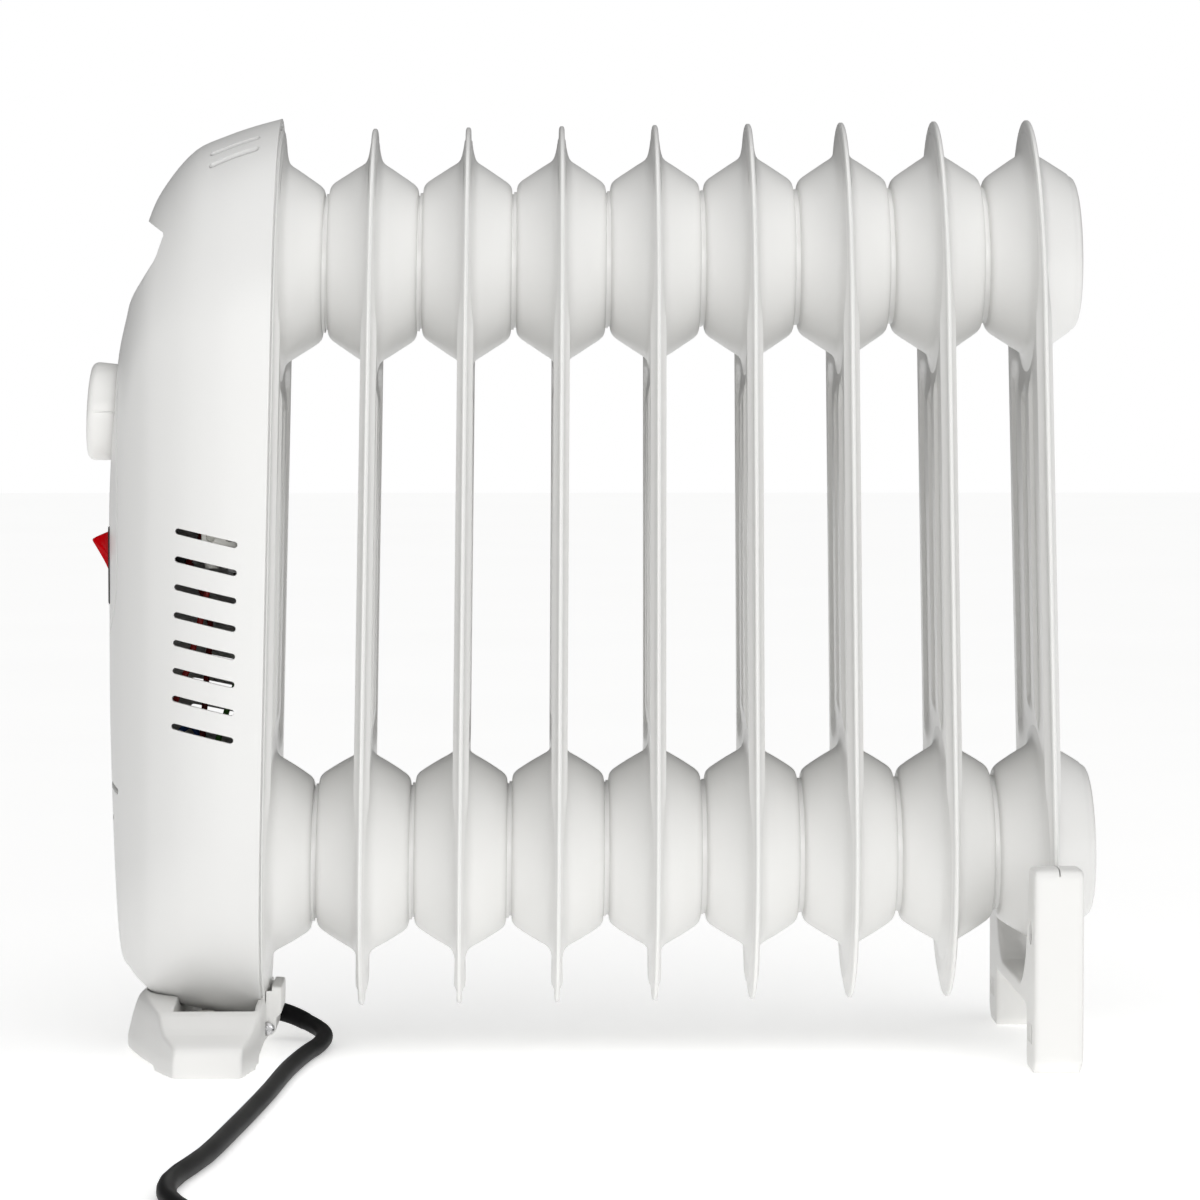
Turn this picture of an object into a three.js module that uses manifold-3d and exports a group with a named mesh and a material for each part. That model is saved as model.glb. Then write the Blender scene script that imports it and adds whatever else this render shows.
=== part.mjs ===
// Oil filled radiator heater: nine pressed steel fins welded in a row along two header
// rows, a moulded control cover on the first fin, a foot at each end and a mains lead.
// Millimetres. +X runs from the control cover to the last fin, +Y across the fins and
// +Z up. The origin is on the floor, under the middle of the heater.
import * as THREE from 'three';
import { mergeVertices } from 'three/addons/utils/BufferGeometryUtils.js';
import Module from 'manifold-3d';

const wasm = await Module();
wasm.setup();

// ---------------------------------------------------------------- driving dimensions
const GAP = 0.3;                  // clearance left between pieces that touch
const FIN_COUNT = 9;
const MIDDLE_FIN = 5;
const FIN_PITCH = 36.7;           // fin spacing at mid height
const FIN_SPLAY = 0.006;          // each fin leans this much more than the last, radians
const FIN_RISE = 0.5;             // each fin sits this much higher than the last
const STACK_X = 25;               // middle fin
const STACK_Z = 187;              // centre height of the middle fin
const FIN_HALF_WIDTH = 57;
const FIN_HALF_HEIGHT = 168.9;
const FIN_ARCH = 72;              // height of the curved top and bottom of a fin
const RIM_THICKNESS = 2;          // welded seam round a fin
const RIM_WIDTH = 5;
const BODY_THICKNESS = 6.4;       // the oil filled middle of a fin
const UPPER_HEADER = 117.6;       // header centres, measured from a fin's centre
const LOWER_HEADER = -109.5;
const BORE_RADIUS = 19;
const END_WALL = 3;               // closed end of a header

const COVER_HALF_WIDTH = 60;
const COVER_TOP = 358.1;
const COVER_BOTTOM = 13.3;
const COVER_FRONT = -184.6;
const COVER_ARCH = 74;
const COVER_WALL = 2.2;

const KNOB_RADIUS = 18.9;
const KNOB_BASE = [-179.3, 0, 245.6];
const KNOB_TILT = 3;              // degrees the knob's face looks upward
const SHAFT_RADIUS = 3;
const SWITCH_PIVOT = [-180.6, 0, 187.3];
const ROCKER_TILT = 18;           // degrees either side of level

const FRONT_FOOT_HALF = 82;
const REAR_FOOT_HALF = 80;
const REAR_FOOT_FRONT = 163.4;
const REAR_FOOT_BACK = 182.2;
const REAR_FOOT_TOP = 76.7;

const CORD_RADIUS = 3.25;
const COIL_CENTRE = [-156, -464];
const COIL_OUTER = 45.5;
const COIL_INNER = 27;
const COIL_HEIGHT = 14.4;
const PLUG_Y = -556;

// ------------------------------------------------------------------------- materials
function finish(color, roughness, metalness = 0) {
  return new THREE.MeshStandardMaterial({ color, roughness, metalness });
}
const WHITE_ENAMEL = finish(0xf1f0ec, 0.3, 0.05);
const WHITE_PLASTIC = finish(0xf2f1ee, 0.38);
const IVORY_PLASTIC = finish(0xe9e4d4, 0.5);
const BLACK_PLASTIC = finish(0x111111, 0.45);
const BLACK_RUBBER = finish(0x161617, 0.55);
const RED_PLASTIC = finish(0xd00808, 0.22);
const BRIGHT_STEEL = finish(0xb9bbbd, 0.35, 0.9);
const BRASS = finish(0xc79a45, 0.35, 0.9);
const FIBRE = finish(0x6e1f1a, 0.8);
const RED_WIRE = finish(0x7e1512, 0.5);
const BLUE_WIRE = finish(0x25509c, 0.5);
const GREEN_WIRE = finish(0x4f9a3a, 0.5);

// ---------------------------------------------------------------------- solid helpers
function solid(geometry) {
  const bare = geometry.clone();
  bare.deleteAttribute('normal');
  bare.deleteAttribute('uv');
  const merged = mergeVertices(bare, 1e-4);
  const corners = Array.from(merged.index.array);
  const mesh = new wasm.Mesh({
    numProp: 3,
    vertProperties: new Float32Array(merged.attributes.position.array),
    triVerts: new Uint32Array(corners),
  });
  const shape = new wasm.Manifold(mesh);
  if (shape.volume() > 0) return shape;
  mesh.triVerts = new Uint32Array(corners.reverse());
  return new wasm.Manifold(mesh);
}

function box(x0, x1, y0, y1, z0, z1) {
  const geometry = new THREE.BoxGeometry(x1 - x0, y1 - y0, z1 - z0);
  geometry.translate((x0 + x1) / 2, (y0 + y1) / 2, (z0 + z1) / 2);
  return solid(geometry);
}

// A turned solid along +X. Profile points are [distance along X, radius].
function turned(profile, segments = 24) {
  const points = profile.map(([along, radius]) => new THREE.Vector2(radius, along));
  const geometry = new THREE.LatheGeometry(points, segments);
  geometry.rotateZ(-Math.PI / 2);
  return solid(geometry);
}

function rod(radius, x0, x1, segments = 16) {
  return turned([[x0, 0], [x0, radius], [x1, radius], [x1, 0]], segments);
}

// A prism of an outline given in one plane, reaching from start to end along the third axis.
function prism(points, axis, start, end) {
  const shape = new THREE.Shape(points.map(([a, b]) => new THREE.Vector2(a, b)));
  const geometry = new THREE.ExtrudeGeometry(shape, { depth: end - start, bevelEnabled: false });
  geometry.translate(0, 0, axis === 'y' ? -end : start);
  const turn = new THREE.Matrix4();
  if (axis === 'x') turn.set(0, 0, 1, 0, 1, 0, 0, 0, 0, 1, 0, 0, 0, 0, 0, 1);
  if (axis === 'y') turn.set(1, 0, 0, 0, 0, 0, -1, 0, 0, 1, 0, 0, 0, 0, 0, 1);
  geometry.applyMatrix4(turn);
  return solid(geometry);
}

// A tube along a smooth curve through the given points.
function tube(points, radius, steps, sides = 8) {
  const curve = new THREE.CatmullRomCurve3(points.map((p) => new THREE.Vector3(...p)), false, 'centripetal');
  const ring = [];
  for (let i = 0; i < sides; i += 1) {
    const angle = (2 * Math.PI * i) / sides;
    ring.push(new THREE.Vector2(radius * Math.cos(angle), radius * Math.sin(angle)));
  }
  const path = { steps, extrudePath: curve, bevelEnabled: false };
  return solid(new THREE.ExtrudeGeometry(new THREE.Shape(ring), path));
}

// A prism of a slot with round ends. Centre, length and width are in the plane across
// the axis, and the slope turns it there.
function slot(axis, [a, b], length, width, slope, start, end) {
  const points = [];
  const reach = (length - width) / 2;
  for (const side of [1, -1]) {
    for (let i = -1; i <= 1; i += 1) {
      const angle = ((1 - side + i) * Math.PI) / 2;
      const u = side * reach + (width / 2) * Math.cos(angle);
      const v = (width / 2) * Math.sin(angle);
      const across = u * Math.cos(slope) - v * Math.sin(slope);
      const along = u * Math.sin(slope) + v * Math.cos(slope);
      points.push([a + across, b + along]);
    }
  }
  return prism(points, axis, start, end);
}

// Joins closed rings, each with the same number of points, into one solid.
function loft(rings) {
  const count = rings[0].length;
  const positions = rings.flat(2);
  const index = [];
  for (let j = 0; j < rings.length - 1; j += 1) {
    for (let i = 0; i < count; i += 1) {
      const a = j * count + i;
      const b = j * count + (i + 1) % count;
      index.push(a, b, b + count, a, b + count, a + count);
    }
  }
  for (const [ring, first] of [[rings[0], 0], [rings.at(-1), (rings.length - 1) * count]]) {
    const tip = positions.length / 3;
    positions.push(...[0, 1, 2].map((k) => ring.reduce((sum, point) => sum + point[k], 0) / count));
    for (let i = 0; i < count; i += 1) {
      const corners = [tip, first + (i + 1) % count, first + i];
      index.push(...(first === 0 ? corners : corners.reverse()));
    }
  }
  const geometry = new THREE.BufferGeometry();
  geometry.setAttribute('position', new THREE.Float32BufferAttribute(positions, 3));
  geometry.setIndex(index);
  return solid(geometry);
}

function together(shapes) {
  return shapes.reduce((whole, shape) => whole.add(shape));
}

function mirrored(shape) {
  return shape.mirror([0, 1, 0]);
}

function bothSides(shape) {
  return shape.add(mirrored(shape));
}

const heater = new THREE.Group();

function part(name, shape, material) {
  const mesh = shape.getMesh();
  const geometry = new THREE.BufferGeometry();
  geometry.setAttribute('position', new THREE.Float32BufferAttribute(mesh.vertProperties, 3));
  geometry.setIndex(Array.from(mesh.triVerts));
  geometry.computeVertexNormals();
  const node = new THREE.Mesh(geometry, material.clone());
  node.name = name;
  heater.add(node);
}

// ------------------------------------------------------------------------------ fins
// Outline in Y and Z with straight sides and a half ellipse at the top and bottom.
function archOutline(halfWidth, bottom, top, archBottom, archTop, steps = 8) {
  const points = [];
  for (let i = 0; i <= steps; i += 1) {
    const angle = Math.PI + (Math.PI * i) / steps;
    points.push([halfWidth * Math.cos(angle), bottom + archBottom + archBottom * Math.sin(angle)]);
  }
  for (let i = 0; i <= steps; i += 1) {
    const angle = (Math.PI * i) / steps;
    points.push([halfWidth * Math.cos(angle), top - archTop + archTop * Math.sin(angle)]);
  }
  return points;
}

function finPlate(inset, thickness) {
  const reach = FIN_HALF_HEIGHT - inset;
  const arch = FIN_ARCH - inset;
  const outline = archOutline(FIN_HALF_WIDTH - inset, -reach, reach, arch, arch);
  return prism(outline, 'x', -thickness / 2, thickness / 2);
}

// Distance from a fin's middle plane to where its header boss meets the next fin's.
function bossReach(header) {
  return (FIN_PITCH - FIN_SPLAY * header) / 2 - GAP;
}

function boss(reach) {
  return turned([
    [0, 0],
    [0, 41.5],
    [4.5, 36.8],
    [reach - 2.4, 30],
    [reach, 26.5],
    [reach, 0],
  ], 14);
}

function finShape(number) {
  let fin = finPlate(0, RIM_THICKNESS).add(finPlate(RIM_WIDTH, BODY_THICKNESS));
  for (const header of [UPPER_HEADER, LOWER_HEADER]) {
    const reach = bossReach(header);
    const closedFront = number === 1 && header === UPPER_HEADER;
    const boreStart = closedFront ? END_WALL - reach : -reach - 1;
    const boreEnd = number === FIN_COUNT ? reach - END_WALL : reach + 1;
    const bosses = boss(reach).add(boss(reach).rotate([0, 180, 0]));
    fin = fin.add(bosses.translate([0, 0, header]));
    fin = fin.subtract(rod(BORE_RADIUS, boreStart, boreEnd, 14).translate([0, 0, header]));
    if (closedFront) fin = fin.subtract(fillerHole());
  }
  return fin;
}

// Moves a shape from a fin's own frame, centred on the fin, to its place in the row.
function inFin(number, shape) {
  const step = number - MIDDLE_FIN;
  const lean = THREE.MathUtils.radToDeg(-step * FIN_SPLAY);
  return shape.rotate([0, lean, 0])
    .translate([STACK_X + step * FIN_PITCH, 0, STACK_Z + step * FIN_RISE]);
}

// ------------------------------------------------------- pieces on the first header
const FILLER_RADIUS = 5.4;

function fillerHole() {
  const reach = bossReach(UPPER_HEADER);
  return rod(FILLER_RADIUS + GAP, -reach - 1, 0, 16).translate([0, 0, UPPER_HEADER]);
}

function hexagon(radius) {
  const corners = [0, 1, 2, 3, 4, 5].map((i) => (Math.PI * i) / 3);
  return corners.map((angle) => [radius * Math.cos(angle), radius * Math.sin(angle)]);
}

function fillerPlug() {
  const face = -bossReach(UPPER_HEADER);
  const plug = together([
    rod(FILLER_RADIUS, face - 1, face + 8, 16),
    rod(9.5, face - 1.6 - GAP, face - GAP, 18),
    prism(hexagon(8), 'x', face - 7, face - 1.5),
  ]);
  return plug.translate([0, 0, UPPER_HEADER]);
}

const ELEMENT_RADIUS = 4;
const ELEMENT_SPACING = 9;        // from the header's axis to each leg of the element
const ELEMENT_LENGTH = 285;
const GASKET_THICKNESS = 1.2;
const GASKET_FACE = -bossReach(LOWER_HEADER) - GAP;
const FLANGE_FACE = GASKET_FACE - GASKET_THICKNESS - GAP;

function elementGasket() {
  const outer = rod(24, GASKET_FACE - GASKET_THICKNESS, GASKET_FACE, 24);
  return outer.subtract(rod(18, GASKET_FACE - 5, GASKET_FACE + 5, 18)).translate([0, 0, LOWER_HEADER]);
}

function elementFlange() {
  const disc = rod(22, FLANGE_FACE - 4, FLANGE_FACE, 24);
  const nut = prism(hexagon(19), 'x', FLANGE_FACE - 8, FLANGE_FACE - 3.9);
  const hole = rod(ELEMENT_RADIUS + 0.6, FLANGE_FACE - 10, FLANGE_FACE + 2, 16);
  const holes = bothSides(hole.translate([0, ELEMENT_SPACING, 0]));
  return disc.add(nut).subtract(holes).translate([0, 0, LOWER_HEADER]);
}

// The element follows the header row, which climbs a little against the first fin.
function alongHeader(shape) {
  const climb = FIN_RISE / FIN_PITCH + (MIDDLE_FIN - 1) * FIN_SPLAY;
  return shape.rotate([0, -THREE.MathUtils.radToDeg(climb), 0])
    .translate([FLANGE_FACE - 4, 0, LOWER_HEADER]);
}

function heatingElement() {
  const leg = rod(ELEMENT_RADIUS, -12, ELEMENT_LENGTH + 0.1, 12);
  const bend = [];
  for (let i = 0; i <= 6; i += 1) {
    const angle = (Math.PI * i) / 6;
    bend.push([
      ELEMENT_LENGTH + ELEMENT_SPACING * Math.sin(angle),
      ELEMENT_SPACING * Math.cos(angle),
      0,
    ]);
  }
  const legs = bothSides(leg.translate([0, ELEMENT_SPACING, 0]));
  return alongHeader(legs.add(tube(bend, ELEMENT_RADIUS, 8, 12)));
}

function elementTerminal() {
  const sleeve = rod(5.6, -18, -12 - GAP, 12);
  const blade = box(-25, -17.9, -2.4, 2.4, -0.5, 0.5);
  return alongHeader(sleeve.add(blade).translate([0, ELEMENT_SPACING, 0]));
}

// --------------------------------------------------- thermal cut-out and upper bracket
const FIN_FRONT = -BODY_THICKNESS / 2;
const CUTOUT_Z = 3;

function thermalCutout() {
  const can = rod(8.5, FIN_FRONT - 7, FIN_FRONT - GAP, 18);
  const base = rod(6.5, FIN_FRONT - 12, FIN_FRONT - 6.9, 18);
  return can.add(base).translate([0, 0, CUTOUT_Z]);
}

function cutoutClip() {
  const strap = box(FIN_FRONT - 13.5, FIN_FRONT - 12 - GAP, -14, 14, -4, 4);
  const leg = box(FIN_FRONT - 13.5, FIN_FRONT - GAP, 12.6, 14, -4, 4);
  const foot = box(FIN_FRONT - 1.5, FIN_FRONT - GAP, 12.6, 21, -4, 4);
  return strap.add(bothSides(leg.add(foot))).translate([0, 0, CUTOUT_Z]);
}

function upperBracket() {
  const plate = prism(archOutline(49, 58, 161, 6, 62), 'x', FIN_FRONT - 2, FIN_FRONT - GAP);
  const ear = box(FIN_FRONT - 14, FIN_FRONT - GAP, 47, 49, 60, 96);
  const opening = rod(39.6, -30, 0, 24).translate([0, 0, UPPER_HEADER]);
  const lower = box(-30, 0, -34, 34, 40, UPPER_HEADER - 12);
  return plate.add(bothSides(ear)).subtract(opening).subtract(lower);
}

// --------------------------------------------------------------------- control cover
// Each section: depth from the fin (0) to the front (1), then how much of the full
// height above centre, height below centre and width is left there.
const COVER_SECTIONS = [
  [0, 1, 1, 1],
  [0.15, 0.984, 0.998, 0.998],
  [0.3, 0.964, 0.993, 0.985],
  [0.49, 0.93, 0.98, 0.93],
  [0.675, 0.845, 0.96, 0.81],
  [0.762, 0.77, 0.94, 0.72],
  [0.877, 0.58, 0.895, 0.55],
  [0.932, 0.48, 0.845, 0.425],
  [0.985, 0.23, 0.44, 0.215],
  [1, 0.06, 0.12, 0.07],
];

// The first fin's middle plane, which the back edge of the cover follows.
function firstFinX(z) {
  const step = 1 - MIDDLE_FIN;
  return STACK_X + step * FIN_PITCH - step * FIN_SPLAY * (z - STACK_Z);
}

// The cover as a full solid, shrunk by the inset and open past its back by the overrun.
function coverSolid(inset, overrun) {
  const centre = (COVER_TOP + COVER_BOTTOM) / 2;
  const half = (COVER_TOP - COVER_BOTTOM) / 2;
  const front = COVER_FRONT + inset;
  const ring = ([depth, above, below, side], extra) => {
    const top = centre + half * above - inset;
    const bottom = centre - half * below + inset;
    const width = Math.max(COVER_HALF_WIDTH * side - inset, 1.5);
    const arch = Math.max(COVER_ARCH * side - inset, 2);
    return archOutline(width, bottom, top, arch, arch).map(([y, z]) => {
      const back = firstFinX(z);
      return [back + depth * (front - back) + extra, y, z];
    });
  };
  const rings = COVER_SECTIONS.map((section) => ring(section, 0));
  if (overrun > 0) rings.unshift(ring(COVER_SECTIONS[0], overrun));
  return loft(rings);
}

// The step across the front that leaves a lip above the knob.
function lipNotch() {
  const side = [
    [-161.1, 312.5], [-163.4, 304.5], [-169.5, 295.2], [-183, 275.6],
    [-200, 275.6], [-200, 327.4], [-181, 327.4],
  ];
  return prism(side, 'y', -70, 70);
}

function coverCavity() {
  const notch = lipNotch();
  const wall = together([
    notch.translate([COVER_WALL + 0.4, 0, 0]),
    notch.translate([0, 0, COVER_WALL + 0.4]),
    notch.translate([0, 0, -COVER_WALL - 0.4]),
  ]);
  return coverSolid(COVER_WALL, 6).subtract(wall);
}

function sideVents() {
  const vents = [];
  for (let i = 0; i < 8; i += 1) {
    const z = 199.15 - 10.43 * i;
    vents.push(slot('y', [-143.85 - 0.26 * i, z], 24, 2.4, -0.226, 40, 70));
  }
  return bothSides(together(vents));
}

function topVents() {
  const vents = [24, 31].map((y) => slot('z', [-134.5, y], 19, 2.6, 0, 300, 370));
  return bothSides(together(vents));
}

function frontVents() {
  const vents = [];
  for (const [z, outer] of [[108, 28], [96, 21], [84, 14]]) {
    const middle = (outer + 2) / 2;
    vents.push(slot('x', [middle, z - 0.23 * middle], outer - 2, 2.6, -0.226, -190, -165));
  }
  return bothSides(together(vents));
}

// Turns a shape from the knob's own frame, +X outward along its axis, to its place.
function onKnobAxis(shape) {
  return shape.rotate([0, 180 + KNOB_TILT, 0]).translate(KNOB_BASE);
}

const RECESS_RADIUS = KNOB_RADIUS + 1.4;
const PAD_BACK = -2.7;            // inside of the cover behind the knob
const BUSH_RADIUS = 4;

function controlCover() {
  const outside = coverSolid(0, 0);
  const pad = outside.intersect(onKnobAxis(rod(RECESS_RADIUS + 2, PAD_BACK, 8, 32)));
  const shell = outside.subtract(coverCavity()).add(pad);
  const [, , z] = SWITCH_PIVOT;
  return shell.subtract(together([
    lipNotch(),
    sideVents(),
    topVents(),
    frontVents(),
    onKnobAxis(rod(RECESS_RADIUS, -GAP, 30, 32)),
    onKnobAxis(rod(BUSH_RADIUS + GAP, -10, 5, 20)),
    box(-200, -170, -13.1, 13.1, z - 15.2, z + 15.2),
    upright(5.5, 5, 50, 20).translate([-142.4, 29, 0]),
  ]));
}

// ------------------------------------------------------------------- thermostat group
function thermostatKnob() {
  const body = turned([[0, 0], [0, 18.4], [10, KNOB_RADIUS], [12.2, 17.9], [13.2, 16], [13.2, 0]], 36);
  const pointer = box(12.2, 14, -0.9, 0.9, -16, -7);
  const cavity = rod(9, -1, 3.4, 24);
  const bore = rod(SHAFT_RADIUS + GAP, -1, 9, 20);
  return onKnobAxis(body.subtract(together([pointer, cavity, bore])));
}

function thermostatShaft() {
  return onKnobAxis(rod(SHAFT_RADIUS, -13, 8.5, 24));
}

function thermostatNut() {
  const nut = prism(hexagon(7), 'x', 0, 2.8);
  return onKnobAxis(nut.subtract(rod(BUSH_RADIUS + GAP, -1, 5, 20)));
}

function thermostatBody() {
  const block = box(-25, PAD_BACK - GAP, -16, 16, -20, 16);
  const bush = rod(BUSH_RADIUS, -4, 2.8, 20);
  const bore = rod(SHAFT_RADIUS + 0.08, -14, 5, 24);
  const terminal = box(-31, -24.9, 5, 5.8, -3, 3);
  return onKnobAxis(block.add(bush).add(bothSides(terminal)).subtract(bore));
}

// ----------------------------------------------------------------------------- switch
function inSwitch(x0, x1, halfY, halfZ) {
  const [, , z] = SWITCH_PIVOT;
  return box(x0, x1, -halfY, halfY, z - halfZ, z + halfZ);
}

function switchHousing() {
  const bezel = inSwitch(-184.3, -183, 12.8, 14.9);
  const body = inSwitch(-183.1, -162, 12.3, 14.6);
  const terminal = box(-162.1, -155, -6, -5.2, SWITCH_PIVOT[2] - 3, SWITCH_PIVOT[2] + 3);
  return together([bezel, body, bothSides(terminal)]).subtract(inSwitch(-186, -172, 10.6, 14.1));
}

// The rocker's side outline is drawn level, then tipped so its top stands out.
function powerRocker() {
  const outline = [
    [-4.2, 0], [-6.5, -12], [-3.5, -13.1], [1, -13.5], [4, -6],
    [4, 6], [1, 13.5], [-3.5, 13.1], [-6.5, 12],
  ];
  return prism(outline, 'y', -10.3, 10.3).rotate([0, -ROCKER_TILT, 0]).translate(SWITCH_PIVOT);
}

// -------------------------------------------------------------------------- front foot
// Half of the foot's plan, from its back corner round to the middle of its front.
const FRONT_PLAN = [[-124.5, -52], [-129.8, -82], [-155.6, -82], [-162, -67], [-173, -30]];
const FRONT_NOSE = [-178.5, 0];

function frontFootRing(z, drawIn) {
  const back = FRONT_PLAN[0][0];
  const depth = back - FRONT_NOSE[0];
  const half = [...FRONT_PLAN, FRONT_NOSE];
  const other = FRONT_PLAN.map(([x, y]) => [x, -y]).reverse();
  return [...half, ...other].map(([x, y]) => [x + drawIn * ((back - x) / depth), y, z]);
}

// What is left of a fin's outline is cut away, so that the fin sits in a matching slot.
function finSlot(number) {
  const rim = finPlate(-GAP, RIM_THICKNESS + 2 * GAP);
  const body = finPlate(RIM_WIDTH - GAP, BODY_THICKNESS + 2 * GAP);
  return inFin(number, rim.add(body));
}

const LEAD_Y = 26;                // where the mains lead leaves the front foot
const LEAD_Z = 11.4;
const BOOT_RADIUS = 4.1;
const CORD_STEPS = 52;
const CORD_LOW = CORD_RADIUS + 0.2;
// Out of the foot, round under the heater and forward along the floor to the coil.
const CORD_PATH = [
  [-135, LEAD_Y, LEAD_Z], [-130, LEAD_Y, LEAD_Z], [-124, LEAD_Y - 0.4, LEAD_Z - 0.3],
  [-117, 23.4, 9.6], [-110.5, 18.5, 7.4], [-104.5, 9, 5.4], [-102.6, 0, 4.4], [-104, -18, 3.6],
  [-108, -40, CORD_LOW], [-113, -80, CORD_LOW], [-117, -131, CORD_LOW], [-121, -175, CORD_LOW],
  [-125, -215, CORD_LOW], [-131, -270, CORD_LOW], [-139, -320, CORD_LOW], [-137, -350, CORD_LOW],
  [-126, -385, CORD_LOW], [-119, -420, CORD_LOW],
];
const PILLAR_X = -147;
const PILLAR_Y = 22;

function frontFoot() {
  const block = loft([
    frontFootRing(0, 0), frontFootRing(6, 0), frontFootRing(21, 4.5), frontFootRing(24, 8),
  ]);
  const slope = [
    [-82, 0], [-82, 10.3], [-80.5, 11.8], [-66, 15.4], [-55, 20.4], [-52, 20.9], [-30, 22.5], [0, 23.6],
  ];
  const other = slope.map(([y, z]) => [-y, z]).reverse().slice(1);
  const underside = [[60, 0], [57, 1.2], [-57, 1.2], [-60, 0]];
  const across = [...slope, ...other, ...underside].reverse();
  const shaped = block.intersect(prism(across, 'x', -190, -110));
  const hook = inFin(1, box(-5, 7.4, -16, 16, -170, -159.3));
  const lug = prism([
    [-131, 17], [-131, 7.5], [-124.5, 6.2], [-122, 6.8], [-120.6, 8.5], [-120.4, 10], [-120.4, 17],
  ], 'y', -16, 16);
  const well = box(-157.5, -131, -50, 50, 7.5, 40);
  const rearWells = together([box(-131.1, -127.1, -50, -17, 12, 40), box(-131.1, -127.1, 38, 50, 12, 40)]);
  const backArch = box(-130.5, -110, -54, 54, -1, 4.5);
  const collarPocket = rod(7.2, -140, -131, 20).translate([0, LEAD_Y, LEAD_Z]);
  const leadHole = tube(CORD_PATH.slice(0, 6), BOOT_RADIUS + 1, 14, 12);
  const pillarHoles = bothSides(upright(2.2, -1, 12, 16).translate([PILLAR_X, PILLAR_Y, 0]));
  const headHoles = bothSides(upright(4.4, -1, 4, 16).translate([PILLAR_X, PILLAR_Y, 0]));
  return shaped.subtract(backArch).add(hook).add(lug).subtract(together([
    finSlot(1), well, rearWells, coverSolid(-0.6, 0), leadHole, collarPocket, pillarHoles, headHoles,
    lugScrew(1.6, 4, 18), lugScrew(2.8, 16, 19),
  ]));
}

function upright(radius, z0, z1, segments = 16) {
  return rod(radius, z0, z1, segments).rotate([0, -90, 0]);
}

function pillar() {
  const post = upright(4.5, 7.5 + GAP, 17.2, 20).subtract(upright(1.6, 0, 14, 16));
  return post.translate([PILLAR_X, PILLAR_Y, 0]);
}

function pillarScrew() {
  return upright(4, 1.6, 4 - GAP, 18).add(upright(1.5, 3, 13.5, 16)).translate([PILLAR_X, PILLAR_Y, 0]);
}

function lugScrew(radius, start, end) {
  return rod(radius, start, end, 18).rotate([0, 0, -90]).translate([-123.5, 0, 9.6]);
}

function saddleScrew() {
  return lugScrew(2.4, 16 + GAP, 17.8).add(lugScrew(1.3, 5, 17));
}

// --------------------------------------------------------------------------- rear foot
function rearFoot() {
  const outer = [
    [-80, 5], [-74, 0], [-56, 0], [-54, 3], [-54, 19], [-50.5, 22.5],
    [50.5, 22.5], [54, 19], [54, 3], [56, 0], [74, 0], [80, 5],
    [80, 73.2], [78.6, 76], [76, REAR_FOOT_TOP], [60.5, REAR_FOOT_TOP],
    [57, 60], [52, 46], [44, 36], [32, 29.5],
    [-32, 29.5], [-44, 36], [-52, 46], [-57, 60], [-60.5, REAR_FOOT_TOP],
    [-76, REAR_FOOT_TOP], [-78.6, 76], [-80, 73.2],
  ];
  const yoke = prism(outer, 'x', REAR_FOOT_FRONT, REAR_FOOT_BACK);
  const parting = box(172.4, 173.6, 59, 77, 70, 80);
  const counterbore = rod(4.4, 160, 169.4, 16).translate([0, 68, 52]);
  const pilot = rod(1.8, 160, 178, 16).translate([0, 68, 52]);
  const relief = [60, 66, 72].map((y) => box(160, 167, y, y + 2, 11, 18));
  const hollow = box(166, 179.6, 60, 75, 2.5, 14);
  const cuts = together([parting, counterbore, pilot, hollow, ...relief]);
  return yoke.subtract(bothSides(cuts)).subtract(finSlot(FIN_COUNT));
}

function rearFootScrew() {
  return rod(4, 167, 169.4 - GAP, 18).add(rod(1.5, 168, 177, 16)).translate([0, 68, 52]);
}

// ------------------------------------------------------------------ wiring in the cover
function innerLead() {
  return tube([
    [-136.2, LEAD_Y, LEAD_Z], [-138.8, LEAD_Y + 0.3, LEAD_Z + 0.7], [-141, 27.2, 14.8],
    [-142, 28.2, 19], [-142.4, 29, 24.5], [-144, 30.4, 34], [-149, 33.5, 56], [-151, 34, 80],
    [-150, 33, 112],
  ], CORD_RADIUS, 24, 8);
}

function cordGrip() {
  const block = box(-158, -145, 22, 44, 84, 94);
  return block.subtract(upright(CORD_RADIUS + 1.1, 70, 110, 16).translate([-151, 34, 0]));
}

function wire(points) {
  return tube(points, 1.2, 12, 6);
}

const liveWire = () => wire([
  [-152, 34, 114], [-150, 33, 140], [-148, 24, 165], [-152, 9, 181], [-154.5, 8, 187],
]);
const switchedWire = () => wire([
  [-154.5, -8, 187], [-148, -14, 200], [-143, -10, 222], [-145, -7.5, 243],
]);
const cutoutWire = () => wire([
  [-145, 7.5, 247], [-142, 22, 240], [-140, 24, 215], [-141, 13, 195],
]);
const neutralWire = () => wire([
  [-152, 37, 113.6], [-156, 38, 122], [-162, 34, 118], [-166, 24, 100], [-175.6, 9, 78.5],
]);
const earthWire = () => wire([
  [-146, 33, 115], [-140, 38, 135], [-134, 40, 150], [-128, 34, 158],
]);
const elementWire = () => wire([
  [-175.6, -9, 78.5], [-168, -24, 110], [-152, -43, 150], [-142.5, -47, 186],
]);
const linkingWire = () => wire([
  [-139, -47, 207], [-143, -46, 240], [-149, -40, 272], [-150, -32, 296], [-143, -30, 322],
]);

function wireConnector() {
  const block = box(-146, -132, -54, -41, 190, 203);
  const barrels = [-142.5, -135.5].map((x) => upright(2.6, 187.5, 205.5, 12).translate([x, -47, 0]));
  const bores = [-142.5, -135.5].map((x) => upright(1.6, 180, 210, 12).translate([x, -47, 0]));
  return together([block, ...barrels]).subtract(together(bores));
}

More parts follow.
